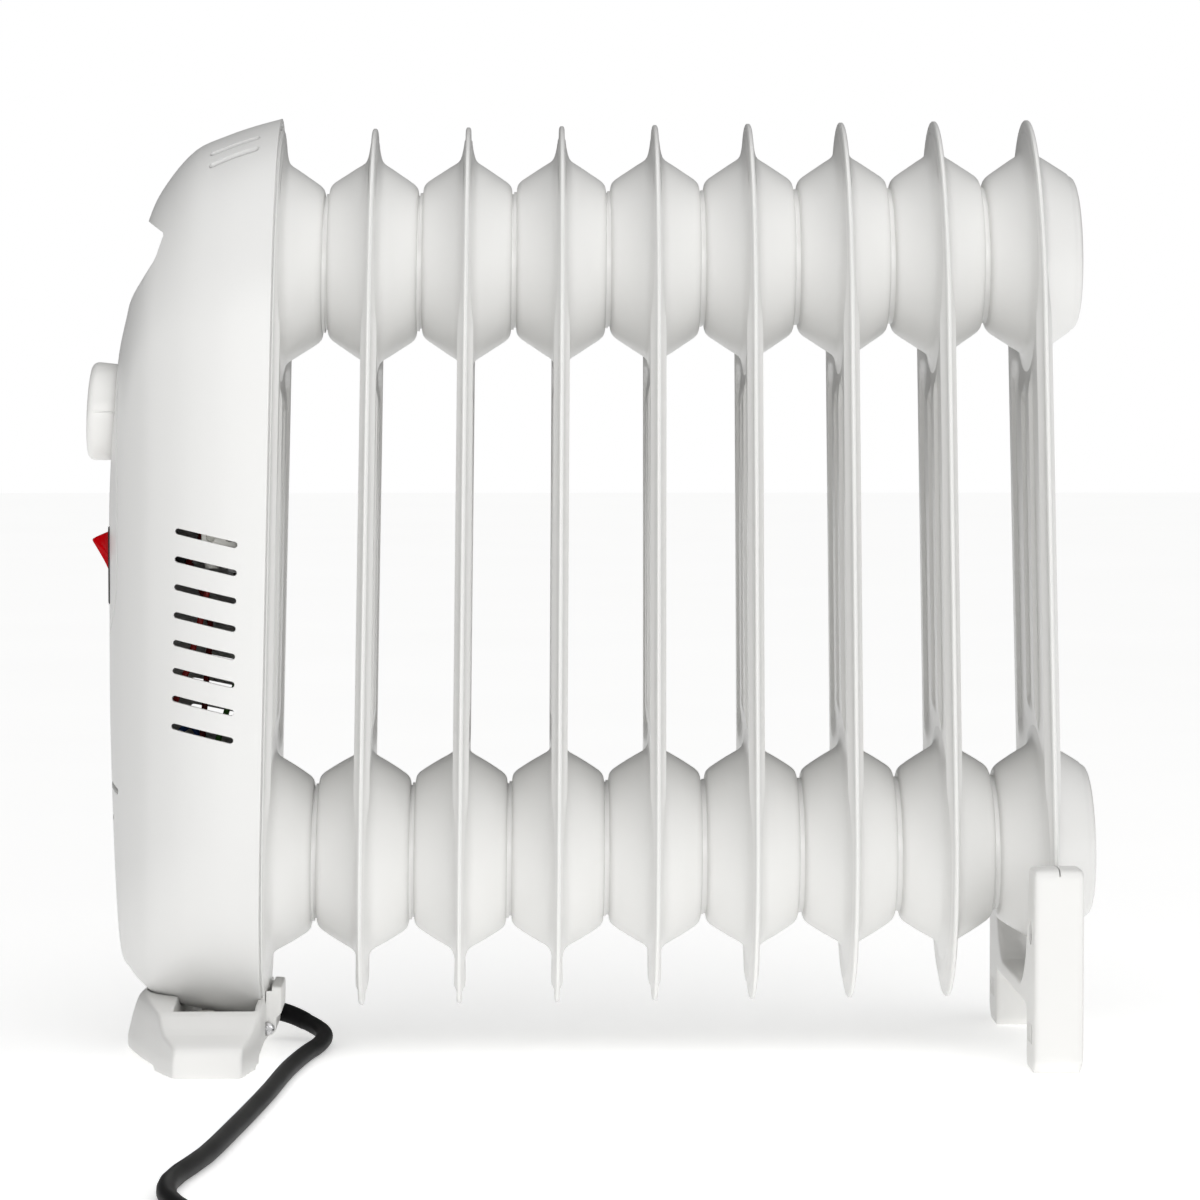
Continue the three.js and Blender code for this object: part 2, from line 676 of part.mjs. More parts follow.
// ------------------------------------------------------------------------- mains lead
function strainRelief() {
  const sleeve = tube(CORD_PATH.slice(0, 5), BOOT_RADIUS, 10, 16);
  const collar = rod(6.6, -134.6, -131 - GAP, 20).translate([0, LEAD_Y, LEAD_Z]);
  return sleeve.add(collar).subtract(tube(CORD_PATH, CORD_RADIUS + GAP, CORD_STEPS, 8));
}

const [COIL_X, COIL_Y] = COIL_CENTRE;
const TIE_THICKNESS = 1;

function mainsCord() {
  return tube(CORD_PATH, CORD_RADIUS, CORD_STEPS, 8);
}

function cordCoil() {
  const top = COIL_HEIGHT;
  const base = TIE_THICKNESS + 0.6;
  const ring = turned([
    [base, COIL_INNER + 2], [base, COIL_OUTER - 3], [base + 3, COIL_OUTER], [top - 3, COIL_OUTER],
    [top, COIL_OUTER - 3], [top, COIL_INNER + 2], [top - 2, COIL_INNER],
    [base + 2, COIL_INNER], [base, COIL_INNER + 2],
  ], 36);
  return ring.rotate([0, -90, 0]).translate([COIL_X, COIL_Y, 0]);
}

function coilTie() {
  const near = COIL_Y - COIL_OUTER - 0.5;
  const far = COIL_Y - COIL_INNER + 1;
  const loop = box(COIL_X - 4, COIL_X + 4, near - TIE_THICKNESS, far + TIE_THICKNESS, 0.2, COIL_HEIGHT + 1.4);
  return loop.subtract(box(COIL_X - 9, COIL_X + 9, near, far, 0.2 + TIE_THICKNESS, COIL_HEIGHT + 0.4));
}

const PLUG_RADIUS = 18.8;
const PLUG_FACE = -190;
const PLUG_BACK = -115;
const PIN_RADIUS = 2.4;

function cordTail() {
  return tube([
    [-111, -497, 8], [-97, -514, 4.6], [-89, -531, 7.6], [-95, -548, 14.6],
    [-107, PLUG_Y + 0.4, 18.4], [PLUG_BACK + GAP, PLUG_Y, PLUG_RADIUS + 0.2],
  ], CORD_RADIUS, 20, 8);
}

function onPlugAxis(shape) {
  return shape.translate([0, PLUG_Y, PLUG_RADIUS + 0.2]);
}

// A round two pin plug with an earth clip groove down each side.
function plugBody() {
  const body = turned([
    [PLUG_FACE, 0], [PLUG_FACE, 17.6], [PLUG_FACE + 1.5, PLUG_RADIUS], [PLUG_FACE + 26, PLUG_RADIUS],
    [PLUG_FACE + 34, 15.5], [PLUG_FACE + 46, 11], [PLUG_FACE + 60, 7.2], [PLUG_BACK, 5.4], [PLUG_BACK, 0],
  ], 28);
  const groove = box(PLUG_FACE - 1, PLUG_FACE + 17, -2.6, 2.6, 15.4, 25);
  const grooves = together([groove, groove.mirror([0, 0, 1])]);
  const sockets = bothSides(rod(PIN_RADIUS + GAP, PLUG_FACE - 1, PLUG_FACE + 12, 16).translate([0, 9.5, 0]));
  return onPlugAxis(body.subtract(grooves).subtract(sockets));
}

function plugPin(side) {
  const pin = turned([
    [PLUG_FACE - 19, 0], [PLUG_FACE - 19, 1.4], [PLUG_FACE - 18, PIN_RADIUS],
    [PLUG_FACE + 11, PIN_RADIUS], [PLUG_FACE + 11, 0],
  ], 16);
  return onPlugAxis(pin.translate([0, side * 9.5, 0]));
}

// --------------------------------------------------------------------------- assembly
for (let number = 1; number <= FIN_COUNT; number += 1) {
  part(`fin_${number}`, inFin(number, finShape(number)), WHITE_ENAMEL);
}
part('oil_filler_plug', inFin(1, fillerPlug()), BRIGHT_STEEL);
part('element_gasket', inFin(1, elementGasket()), FIBRE);
part('element_flange', inFin(1, elementFlange()), BRASS);
part('heating_element', inFin(1, heatingElement()), BRIGHT_STEEL);
part('element_terminal_1', inFin(1, elementTerminal()), BRASS);
part('element_terminal_2', inFin(1, mirrored(elementTerminal())), BRASS);
part('thermal_cutout', inFin(1, thermalCutout()), BLACK_PLASTIC);
part('cutout_clip', inFin(1, cutoutClip()), BRIGHT_STEEL);
part('upper_bracket', inFin(1, upperBracket()), BRIGHT_STEEL);

part('control_cover', controlCover(), WHITE_PLASTIC);
part('thermostat_knob', thermostatKnob(), IVORY_PLASTIC);
part('thermostat_shaft', thermostatShaft(), BRIGHT_STEEL);
part('thermostat_nut', thermostatNut(), BRIGHT_STEEL);
part('thermostat_body', thermostatBody(), BLACK_PLASTIC);
part('switch_housing', switchHousing(), BLACK_PLASTIC);
part('power_rocker', powerRocker(), RED_PLASTIC);

part('inner_lead', innerLead(), BLACK_RUBBER);
part('cord_grip', cordGrip(), IVORY_PLASTIC);
part('live_wire', liveWire(), RED_WIRE);
part('switched_wire', switchedWire(), RED_WIRE);
part('cutout_wire', cutoutWire(), RED_WIRE);
part('neutral_wire', neutralWire(), BLUE_WIRE);
part('earth_wire', earthWire(), GREEN_WIRE);
part('element_wire', elementWire(), RED_WIRE);
part('linking_wire', linkingWire(), RED_WIRE);
part('wire_connector', wireConnector(), IVORY_PLASTIC);

part('front_foot', frontFoot(), WHITE_PLASTIC);
part('pillar_1', pillar(), IVORY_PLASTIC);
part('pillar_2', mirrored(pillar()), IVORY_PLASTIC);
part('pillar_screw_1', pillarScrew(), BRIGHT_STEEL);
part('pillar_screw_2', mirrored(pillarScrew()), BRIGHT_STEEL);
part('saddle_screw', saddleScrew(), BRIGHT_STEEL);
part('rear_foot', rearFoot(), WHITE_PLASTIC);
part('rear_foot_screw_1', rearFootScrew(), BRIGHT_STEEL);
part('rear_foot_screw_2', mirrored(rearFootScrew()), BRIGHT_STEEL);

part('strain_relief', strainRelief(), BLACK_RUBBER);
part('mains_cord', mainsCord(), BLACK_RUBBER);
part('cord_coil', cordCoil(), BLACK_RUBBER);
part('cord_tail', cordTail(), BLACK_RUBBER);
part('coil_tie', coilTie(), BLACK_PLASTIC);
part('plug_body', plugBody(), BLACK_RUBBER);
part('plug_pin_1', plugPin(-1), BRIGHT_STEEL);
part('plug_pin_2', plugPin(1), BRIGHT_STEEL);

export default heater;
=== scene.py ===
"""Oil filled radiator heater: nine pressed steel fins, a moulded control cover with a knob
and a rocker switch, two feet and a mains lead with a plug.

Lengths in this file are millimetres in the heater's own frame: +X runs from the control
cover to the last fin, +Y across the fins and +Z up from the floor.
"""

import math

import bmesh
import bpy
from mathutils import Matrix, Vector


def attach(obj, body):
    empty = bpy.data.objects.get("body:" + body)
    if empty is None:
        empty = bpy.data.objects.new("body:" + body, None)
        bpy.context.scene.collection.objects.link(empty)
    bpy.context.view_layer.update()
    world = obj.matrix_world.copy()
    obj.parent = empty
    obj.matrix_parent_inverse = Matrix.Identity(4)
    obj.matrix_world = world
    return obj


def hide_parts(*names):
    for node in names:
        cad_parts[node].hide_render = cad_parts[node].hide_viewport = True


MM = 0.001
PI = math.pi
# Degrees between faces above which an edge stays sharp.
SMOOTH_ANGLE = 35
TUBE_ANGLE = 50
FIN_ANGLE = 28

# Fins
FIN_COUNT = 9
MIDDLE_FIN = 5
FIN_PITCH = 36.7
FIN_SPLAY = 0.006
FIN_RISE = 0.5
STACK_X = 25
STACK_Z = 187
FIN_HALF_WIDTH = 57
FIN_HALF_HEIGHT = 168.9
FIN_ARCH = 72
UPPER_HEADER = 117.6
LOWER_HEADER = -109.5
RIM_HALF = 1.0
SKIN_HALF = 1.5
RIB_HEIGHT = 1.5

# Control cover
COVER_HALF_WIDTH = 60
COVER_TOP = 358.1
COVER_BOTTOM = 13.3
COVER_FRONT = -184.6
COVER_ARCH = 74
COVER_WALL = 2.2
KNOB_BASE = (-179.3, 0, 245.6)
KNOB_TILT = math.radians(3)
SCALE_MARKS = 7
SCALE_RADIUS = 22.8
MARK_DEPTH = 0.6
SWITCH_PIVOT = (-180.6, 0, 187.3)
ROCKER_TILT = math.radians(18)

# Mains lead
CORD_DIAMETER = 6.5
COIL_CENTRE = (-156, -464)
COIL_RADIUS = 42
COIL_FLOOR = 1.4
PLUG_FACE = -190
PLUG_Y = -556
PLUG_Z = 19

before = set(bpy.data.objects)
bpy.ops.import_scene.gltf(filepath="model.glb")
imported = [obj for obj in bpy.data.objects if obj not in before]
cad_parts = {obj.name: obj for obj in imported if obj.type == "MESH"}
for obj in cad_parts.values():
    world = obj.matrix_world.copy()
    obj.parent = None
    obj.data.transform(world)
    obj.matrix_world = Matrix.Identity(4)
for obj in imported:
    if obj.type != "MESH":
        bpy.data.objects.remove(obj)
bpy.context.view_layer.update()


# ---------------------------------------------------------------------------- helpers
def smoothstep(low, high, value):
    t = min(max((value - low) / (high - low), 0), 1)
    return t * t * (3 - 2 * t)


def link(name, data):
    obj = bpy.data.objects.new(name, data)
    bpy.context.scene.collection.objects.link(obj)
    return obj


def finish_mesh(mesh, sharp_angle):
    """Welds doubled points, turns the faces outward and smooths all but sharp edges."""
    bm = bmesh.new()
    bm.from_mesh(mesh)
    bmesh.ops.remove_doubles(bm, verts=bm.verts, dist=2e-6)
    bmesh.ops.recalc_face_normals(bm, faces=bm.faces)
    bm.to_mesh(mesh)
    bm.free()
    mesh.shade_smooth()
    mesh.set_sharp_from_angle(angle=math.radians(sharp_angle))


def mesh_from(name, points, faces, sharp_angle=SMOOTH_ANGLE):
    mesh = bpy.data.meshes.new(name)
    mesh.from_pydata([[c * MM for c in point] for point in points], [], faces)
    finish_mesh(mesh, sharp_angle)
    return mesh


def new_piece(name, points, faces, sharp_angle=SMOOTH_ANGLE):
    return link(name, mesh_from(name, points, faces, sharp_angle))


def loft_parts(rings, capped=True):
    """Points and faces of a skin through rings that have equal numbers of points."""
    count = len(rings[0])
    points = [point for ring in rings for point in ring]
    faces = []
    for j in range(len(rings) - 1):
        for i in range(count):
            a = j * count + i
            b = j * count + (i + 1) % count
            faces.append((a, b, b + count, a + count))
    if capped:
        faces.append(tuple(range(count)))
        faces.append(tuple(reversed(range((len(rings) - 1) * count, len(points)))))
    return points, faces


def loft(name, rings, capped=True):
    return new_piece(name, *loft_parts(rings, capped))


def turned_parts(profile, steps=64):
    """A skin turned round +X. Profile points are (distance along X, radius)."""
    rings = []
    for along, radius in profile:
        turn = [2 * PI * i / steps for i in range(steps)]
        rings.append([(along, radius * math.cos(a), radius * math.sin(a)) for a in turn])
    return loft_parts(rings)


def turned(name, profile, steps=64):
    return new_piece(name, *turned_parts(profile, steps))


def prism(name, outline, axis, start, end):
    """A prism of an outline in the plane across the axis."""
    place = {
        "x": lambda a, b, c: (c, a, b),
        "y": lambda a, b, c: (a, c, b),
        "z": lambda a, b, c: (a, b, c),
    }[axis]
    rings = [[place(a, b, c) for a, b in outline] for c in (start, end)]
    return loft(name, rings)


def box(name, x0, x1, y0, y1, z0, z1):
    return prism(name, [(x0, y0), (x1, y0), (x1, y1), (x0, y1)], "z", z0, z1)


def smooth_path(points, steps):
    """Points along a centripetal Catmull-Rom curve through the given ones."""
    pts = [Vector(p) for p in points]
    pts = [2 * pts[0] - pts[1]] + pts + [2 * pts[-1] - pts[-2]]
    path = []
    for i in range(1, len(pts) - 2):
        p0, p1, p2, p3 = pts[i - 1 : i + 3]
        t0 = 0
        t1 = t0 + math.sqrt((p1 - p0).length)
        t2 = t1 + math.sqrt((p2 - p1).length)
        t3 = t2 + math.sqrt((p3 - p2).length)
        for j in range(steps):
            t = t1 + (t2 - t1) * j / steps
            a1 = p0 * (t1 - t) / (t1 - t0) + p1 * (t - t0) / (t1 - t0)
            a2 = p1 * (t2 - t) / (t2 - t1) + p2 * (t - t1) / (t2 - t1)
            a3 = p2 * (t3 - t) / (t3 - t2) + p3 * (t - t2) / (t3 - t2)
            b1 = a1 * (t2 - t) / (t2 - t0) + a2 * (t - t0) / (t2 - t0)
            b2 = a2 * (t3 - t) / (t3 - t1) + a3 * (t - t1) / (t3 - t1)
            path.append(b1 * (t2 - t) / (t2 - t1) + b2 * (t - t1) / (t2 - t1))
    path.append(pts[-2])
    return path


def tube_parts(path, radius, sides=20):
    """A tube of rings along a path, turned as little as possible from ring to ring."""
    path = [Vector(p) for p in path]
    heading = (path[1] - path[0]).normalized()
    across = heading.orthogonal().normalized()
    rings = []
    for i, point in enumerate(path):
        ahead = path[min(i + 1, len(path) - 1)] - path[max(i - 1, 0)]
        turn = heading.rotation_difference(ahead.normalized())
        across = turn @ across
        heading = ahead.normalized()
        other = heading.cross(across)
        size = radius[i] if isinstance(radius, list) else radius
        turns = [2 * PI * k / sides for k in range(sides)]
        ring = [point + size * (math.cos(a) * across + math.sin(a) * other) for a in turns]
        rings.append([tuple(corner) for corner in ring])
    return loft_parts(rings)


def tube(name, path, radius, sides=20):
    return new_piece(name, *tube_parts(path, radius, sides), TUBE_ANGLE)


def move(obj, matrix):
    """Moves the points of a piece, and leaves its object where it is."""
    obj.data.transform(matrix)
    return obj


def shifted(x, y, z):
    return Matrix.Translation((x * MM, y * MM, z * MM))


def join(target, *others):
    """Adds the meshes of other pieces to a piece."""
    bm = bmesh.new()
    bm.from_mesh(target.data)
    for other in others:
        bm.from_mesh(other.data)
        bpy.data.objects.remove(other)
    bm.to_mesh(target.data)
    bm.free()
    target.data.set_sharp_from_angle(angle=math.radians(SMOOTH_ANGLE))
    return target


def apply_modifiers(obj):
    graph = bpy.context.evaluated_depsgraph_get()
    mesh = bpy.data.meshes.new_from_object(obj.evaluated_get(graph))
    obj.modifiers.clear()
    obj.data = mesh
    mesh.shade_smooth()
    mesh.set_sharp_from_angle(angle=math.radians(SMOOTH_ANGLE))
    return obj


def combine(obj, others, operation):
    for other in others:
        step = obj.modifiers.new("boolean", "BOOLEAN")
        step.operation = operation
        step.solver = "EXACT"
        step.object = other
    apply_modifiers(obj)
    for other in others:
        bpy.data.objects.remove(other)
    return obj


def cut(obj, *others):
    return combine(obj, others, "DIFFERENCE")


def bevel(obj, width, segments=3, angle=30):
    step = obj.modifiers.new("bevel", "BEVEL")
    step.width = width * MM
    step.segments = segments
    step.limit_method = "ANGLE"
    step.angle_limit = math.radians(angle)
    step.harden_normals = False
    return apply_modifiers(obj)


def dress(obj, body, material, slot, *nodes):
    """Gives a piece its material and body, and hides the CAD nodes that it stands for."""
    obj.data.materials.clear()
    obj.data.materials.append(material)
    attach(obj, body)
    if nodes:
        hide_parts(*nodes)
    return obj


def rounded_rectangle(half_a, half_b, radius):
    steps = 6
    corners = [(1, 1, 0), (-1, 1, 1), (-1, -1, 2), (1, -1, 3)]
    outline = []
    for a, b, quarter in corners:
        for i in range(steps + 1):
            turn = PI / 2 * (quarter + i / steps)
            x = a * (half_a - radius) + radius * math.cos(turn)
            y = b * (half_b - radius) + radius * math.sin(turn)
            outline.append((x, y))
    return outline


def capsule(centre, length, width, slope=0, steps=8):
    """Outline of a slot with round ends."""
    reach = (length - width) / 2
    outline = []
    for side in (0, 1):
        for i in range(steps + 1):
            turn = PI * side + PI * (i / steps - 0.5)
            u = (reach if side == 0 else -reach) + width / 2 * math.cos(turn)
            v = width / 2 * math.sin(turn)
            x = centre[0] + u * math.cos(slope) - v * math.sin(slope)
            y = centre[1] + u * math.sin(slope) + v * math.cos(slope)
            outline.append((x, y))
    return outline


def hexagon(radius):
    return [(radius * math.cos(PI * i / 3), radius * math.sin(PI * i / 3)) for i in range(6)]


# -------------------------------------------------------------------------- materials
class Nodes:
    """A material's nodes, with short ways to add and join them."""

    def __init__(self, name):
        self.material = bpy.data.materials.new(name)
        self.material.use_nodes = True
        self.tree = self.material.node_tree
        self.shader = self.tree.nodes["Principled BSDF"]
        self.place = self.add("ShaderNodeTexCoord").outputs["Object"]

    def add(self, kind, inputs=None, **settings):
        node = self.tree.nodes.new(kind)
        for key, value in settings.items():
            setattr(node, key, value)
        for key, value in (inputs or {}).items():
            if isinstance(value, bpy.types.NodeSocket):
                self.tree.links.new(value, node.inputs[key])
            else:
                node.inputs[key].default_value = value
        return node

    def stretched(self, scale):
        node = self.add("ShaderNodeMapping", {"Vector": self.place, "Scale": scale})
        return node.outputs["Vector"]

    def noise(self, scale, detail=3, place=None):
        inputs = {"Vector": place or self.place, "Scale": scale, "Detail": detail}
        return self.add("ShaderNodeTexNoise", inputs).outputs["Fac"]

    def ramp(self, factor, *stops):
        node = self.add("ShaderNodeValToRGB", {"Fac": factor})
        elements = node.color_ramp.elements
        elements[0].position, elements[1].position = stops[0][0], stops[-1][0]
        for position, _ in stops[1:-1]:
            elements.new(position)
        for element, (_, value) in zip(elements, stops):
            color = value if isinstance(value, tuple) else (value,) * 3
            element.color = (*color, 1)
        return node.outputs["Color"]

    def blend(self, factor, a, b, mode="MIX"):
        node = self.add("ShaderNodeMix", data_type="RGBA", blend_type=mode)
        for socket, value in zip((node.inputs[0], node.inputs[6], node.inputs[7]), (factor, a, b)):
            if isinstance(value, bpy.types.NodeSocket):
                self.tree.links.new(value, socket)
            else:
                socket.default_value = (*value, 1) if isinstance(value, tuple) else value
        return node.outputs[2]

    def bump(self, height, strength, distance, normal=None):
        inputs = {"Height": height, "Strength": strength, "Distance": distance * MM}
        if normal:
            inputs["Normal"] = normal
        return self.add("ShaderNodeBump", inputs).outputs["Normal"]

    def set(self, **values):
        for name, value in values.items():
            socket = self.shader.inputs[name.replace("_", " ")]
            if isinstance(value, bpy.types.NodeSocket):
                self.tree.links.new(value, socket)
            else:
                socket.default_value = (*value, 1) if isinstance(value, tuple) else value
        return self.material


def enamel():
    """Baked gloss enamel: a soft orange peel, with dust settled where the gloss is duller."""
    n = Nodes("white_enamel")
    peel = n.noise(420, 2)
    ripple = n.noise(90, 2)
    dust = n.noise(26, 5)
    tone = n.ramp(dust, (0.3, (0.832, 0.829, 0.814)), (0.7, (0.845, 0.842, 0.828)))
    roughness = n.ramp(dust, (0.3, 0.32), (0.7, 0.35))
    normal = n.bump(peel, 0.03, 0.05, n.bump(ripple, 0.015, 0.1))
    n.set(Base_Color=tone, Roughness=roughness, Normal=normal)
    return n.set(Coat_Weight=0.3, Coat_Roughness=0.26, IOR=1.5)


def moulded(name, color, roughness):
    """Moulded plastic with a fine spark-eroded grain and faint flow marks."""
    n = Nodes(name)
    speckle = n.noise(2600, 2)
    flow = n.noise(14, 4, n.stretched((1, 1, 0.35)))
    darker = tuple(c * 0.965 for c in color)
    tone = n.ramp(flow, (0.3, darker), (0.72, color))
    gloss = n.ramp(flow, (0.25, roughness * 0.9), (0.75, roughness * 1.12))
    edge = n.add("ShaderNodeBevel", {"Radius": 0.5 * MM}, samples=4).outputs["Normal"]
    normal = n.bump(speckle, 0.12, 0.03, edge)
    return n.set(Base_Color=tone, Roughness=gloss, Normal=normal)


def rubbery(name, color, roughness=0.42, shine=0.5):
    """Extruded flexible PVC with a fine grain and a little wear."""
    n = Nodes(name)
    wear = n.noise(40, 3)
    grain = n.noise(1800, 3)
    tone = n.ramp(wear, (0.3, color), (0.75, tuple(c * 1.15 + 0.001 for c in color)))
    gloss = n.ramp(wear, (0.3, roughness * 0.95), (0.7, roughness * 1.05))
    normal = n.bump(grain, 0.08, 0.1)
    return n.set(Base_Color=tone, Roughness=gloss, Normal=normal, Specular_IOR_Level=shine)


def metal(name, color, roughness=0.3, brush=(1, 1, 1)):
    """Plated metal with drawn lines along one direction and a little tarnish."""
    n = Nodes(name)
    lines = n.noise(900, 3, n.stretched(brush))
    tarnish = n.noise(120, 5)
    dull = tuple(c * 0.72 for c in color)
    tone = n.ramp(tarnish, (0.35, dull), (0.6, color))
    gloss = n.ramp(lines, (0.3, roughness * 0.8), (0.7, roughness * 1.35))
    normal = n.bump(lines, 0.12, 0.1)
    n.set(Base_Color=tone, Roughness=gloss, Normal=normal)
    return n.set(Metallic=1.0)


def fibre():
    """Pressed sealing ring with rubber crumbs in it."""
    n = Nodes("sealing_ring")
    crumbs = n.noise(700, 5)
    tone = n.ramp(crumbs, (0.35, (0.16, 0.05, 0.04)), (0.65, (0.3, 0.1, 0.08)))
    return n.set(Base_Color=tone, Roughness=0.8, Normal=n.bump(crumbs, 0.4, 0.3))


def lens_red():
    """Deep red cap with a faint haze in its colour."""
    n = Nodes("red_rocker")
    haze = n.noise(60, 3)
    tone = n.ramp(haze, (0.3, (0.42, 0, 0.002)), (0.7, (0.55, 0, 0.004)))
    edge = n.add("ShaderNodeBevel", {"Radius": 0.4 * MM}, samples=4).outputs["Normal"]
    n.set(Base_Color=tone, Roughness=0.12, Normal=edge)
    return n.set(Specular_IOR_Level=0.06)


def floor_paint():
    """Matt white sheet that glows a little, as a light table does."""
    n = Nodes("pale_floor")
    mottle = n.noise(3, 3)
    tone = n.ramp(mottle, (0.3, (0.93, 0.93, 0.925)), (0.7, (0.95, 0.95, 0.945)))
    n.set(Base_Color=tone, Roughness=1.0, Specular_IOR_Level=0.0)
    return n.set(Emission_Color=(1.0, 1.0, 1.0), Emission_Strength=0.42)


ENAMEL = enamel()
WHITE_PLASTIC = moulded("white_plastic", (0.825, 0.823, 0.81), 0.36)
IVORY_PLASTIC = moulded("ivory_plastic", (0.89, 0.88, 0.83), 0.4)
KNOB_PLASTIC = moulded("knob_plastic", (0.88, 0.875, 0.855), 0.3)
FOOT_PLASTIC = moulded("foot_plastic", (0.85, 0.845, 0.827), 0.4)
BLACK_PLASTIC = moulded("black_plastic", (0.012, 0.012, 0.013), 0.3)
CORD_RUBBER = rubbery("cord_pvc", (0.006, 0.006, 0.0065), roughness=0.5, shine=0.08)
RED_CAP = lens_red()
STEEL = metal("bright_steel", (0.72, 0.72, 0.73), 0.26)
DRAWN_STEEL = metal("drawn_steel", (0.66, 0.66, 0.67), 0.34, (0.05, 1, 1))
BRASS = metal("brass", (0.78, 0.6, 0.28), 0.3)
SEALING_RING = fibre()
RED_WIRE = rubbery("red_wire_pvc", (0.32, 0.016, 0.012), 0.35)
BLUE_WIRE = rubbery("blue_wire_pvc", (0.03, 0.12, 0.45), 0.35)
GREEN_WIRE = rubbery("green_wire_pvc", (0.1, 0.4, 0.05), 0.35)


# ----------------------------------------------------------------------------- camera
CAMERA_PLACE = (-30.62, -1773.29, 256.93)
CAMERA_DOWN = 2.7009  # degrees
CAMERA_ASIDE = 1.1196  # degrees


def make_camera():
    data = bpy.data.cameras.new("camera")
    data.sensor_width = 36
    data.lens = 138
    data.clip_start = 0.05
    data.clip_end = 60
    camera = link("camera", data)
    camera.location = Vector(CAMERA_PLACE) * MM
    camera.rotation_euler = (math.radians(90 - CAMERA_DOWN), 0, math.radians(-CAMERA_ASIDE))
    bpy.context.scene.camera = camera


make_camera()


# -------------------------------------------------------------------------- mains lead
CORD_RADIUS = CORD_DIAMETER / 2
CORD_LOW = CORD_RADIUS + 0.2
LEAD_EXIT = (-126, 26, 11.4)
# The lead starts inside the front foot, runs out along the floor and ends in a coil.
LEAD_ROUTE = [
    (-135, 26, 11.4), (-130, 26, 11.4), (-124, 25.6, 11.1), (-117, 23.4, 9.6),
    (-110.5, 18.5, 7.4), (-104.5, 9, 5.4), (-102.6, 0, 4.4), (-104, -18, 3.6),
    (-108, -40, CORD_LOW), (-113, -80, CORD_LOW), (-117, -131, CORD_LOW),
    (-121, -175, CORD_LOW), (-125, -215, CORD_LOW), (-131, -270, CORD_LOW),
    (-139, -320, CORD_LOW), (-137, -350, CORD_LOW), (-126, -385, CORD_LOW),
    (-119, -420, CORD_LOW),
]
# From the coil to the plug.
TAIL_ROUTE = [
    (-113, -482, 10.6), (-111, -497, 8), (-97, -514, 4.6), (-89, -531, 7.6),
    (-95, -548, 14.6), (-107, -555.6, 18.4), (-114, PLUG_Y, PLUG_Z),
]
SPIRAL_TURNS = 1.75
CLIMB_TURNS = 0.25
TOP_TURNS = 2
BOOT_LENGTH = 27


def coil_route():
    """Inward on the floor, up one layer, and outward again over the first turns."""
    inner = COIL_RADIUS - CORD_DIAMETER * SPIRAL_TURNS
    total = SPIRAL_TURNS + CLIMB_TURNS + TOP_TURNS
    route = []
    steps = int(total * 20)
    for i in range(1, steps + 1):
        turns = total * i / steps
        climb = smoothstep(SPIRAL_TURNS, SPIRAL_TURNS + CLIMB_TURNS, turns)
        if turns < SPIRAL_TURNS:
            radius = COIL_RADIUS - CORD_DIAMETER * turns
        else:
            radius = inner + CORD_DIAMETER * max(turns - SPIRAL_TURNS - CLIMB_TURNS, 0)
        angle = -2 * PI * turns
        x = COIL_CENTRE[0] + radius * math.cos(angle)
        y = COIL_CENTRE[1] + radius * math.sin(angle)
        route.append((x, y, CORD_RADIUS + COIL_FLOOR + climb * CORD_DIAMETER))
    return route


def along(path, length):
    """The first part of a path, up to a length."""
    kept = [path[0]]
    travelled = 0
    for a, b in zip(path, path[1:]):
        travelled += (b - a).length
        kept.append(b)
        if travelled >= length:
            return kept
    return kept


def make_lead():
    start = (COIL_CENTRE[0] + COIL_RADIUS, COIL_CENTRE[1], CORD_RADIUS + COIL_FLOOR)
    path = smooth_path(LEAD_ROUTE + [start] + coil_route() + TAIL_ROUTE, 3)
    lead = tube("mains_lead", path, CORD_RADIUS, 24)
    dress(lead, "heater", CORD_RUBBER, "black_rubber", "mains_cord", "cord_coil", "cord_tail")
    return lead, path


def make_boot(path):
    """Slim tapered strain relief with a collar inside the foot."""
    line = smooth_path(along(path, BOOT_LENGTH), 3)
    sizes = [4.05 - 0.6 * i / (len(line) - 1) for i in range(len(line))]
    sizes[-1] = CORD_RADIUS + 0.1
    boot = tube("cord_boot", line, sizes, 28)
    rim = [(-134.6, 4), (-134.6, 6.3), (-134.3, 6.6), (-131.6, 6.6), (-131.3, 6.3), (-131.3, 4)]
    collar = turned("collar", rim)
    move(collar, shifted(0, LEAD_EXIT[1], LEAD_EXIT[2]))
    join(boot, collar)
    return dress(boot, "heater", CORD_RUBBER, "black_rubber", "strain_relief")


# Distance behind the plug's face, and radius.
PLUG_SECTION = (
    (0, 0), (0, 16.6), (0.3, 17.4), (1.2, 18.3), (2.6, 18.8), (20, 18.8), (24, 18.5),
    (27, 17.4), (29.5, 15.4), (32, 14.1), (36, 13.2), (42, 12.7), (47, 12.4), (50, 11.4),
    (52, 9.6), (54, 8), (58, 7.1), (66, 6.1), (73, 5.2), (75, 4.6), (75, 0),
)
PIN_SECTION = ((-19, 0), (-19, 1.2), (-18.6, 1.9), (-17.8, 2.3), (-17, 2.4), (8, 2.4), (8, 0))


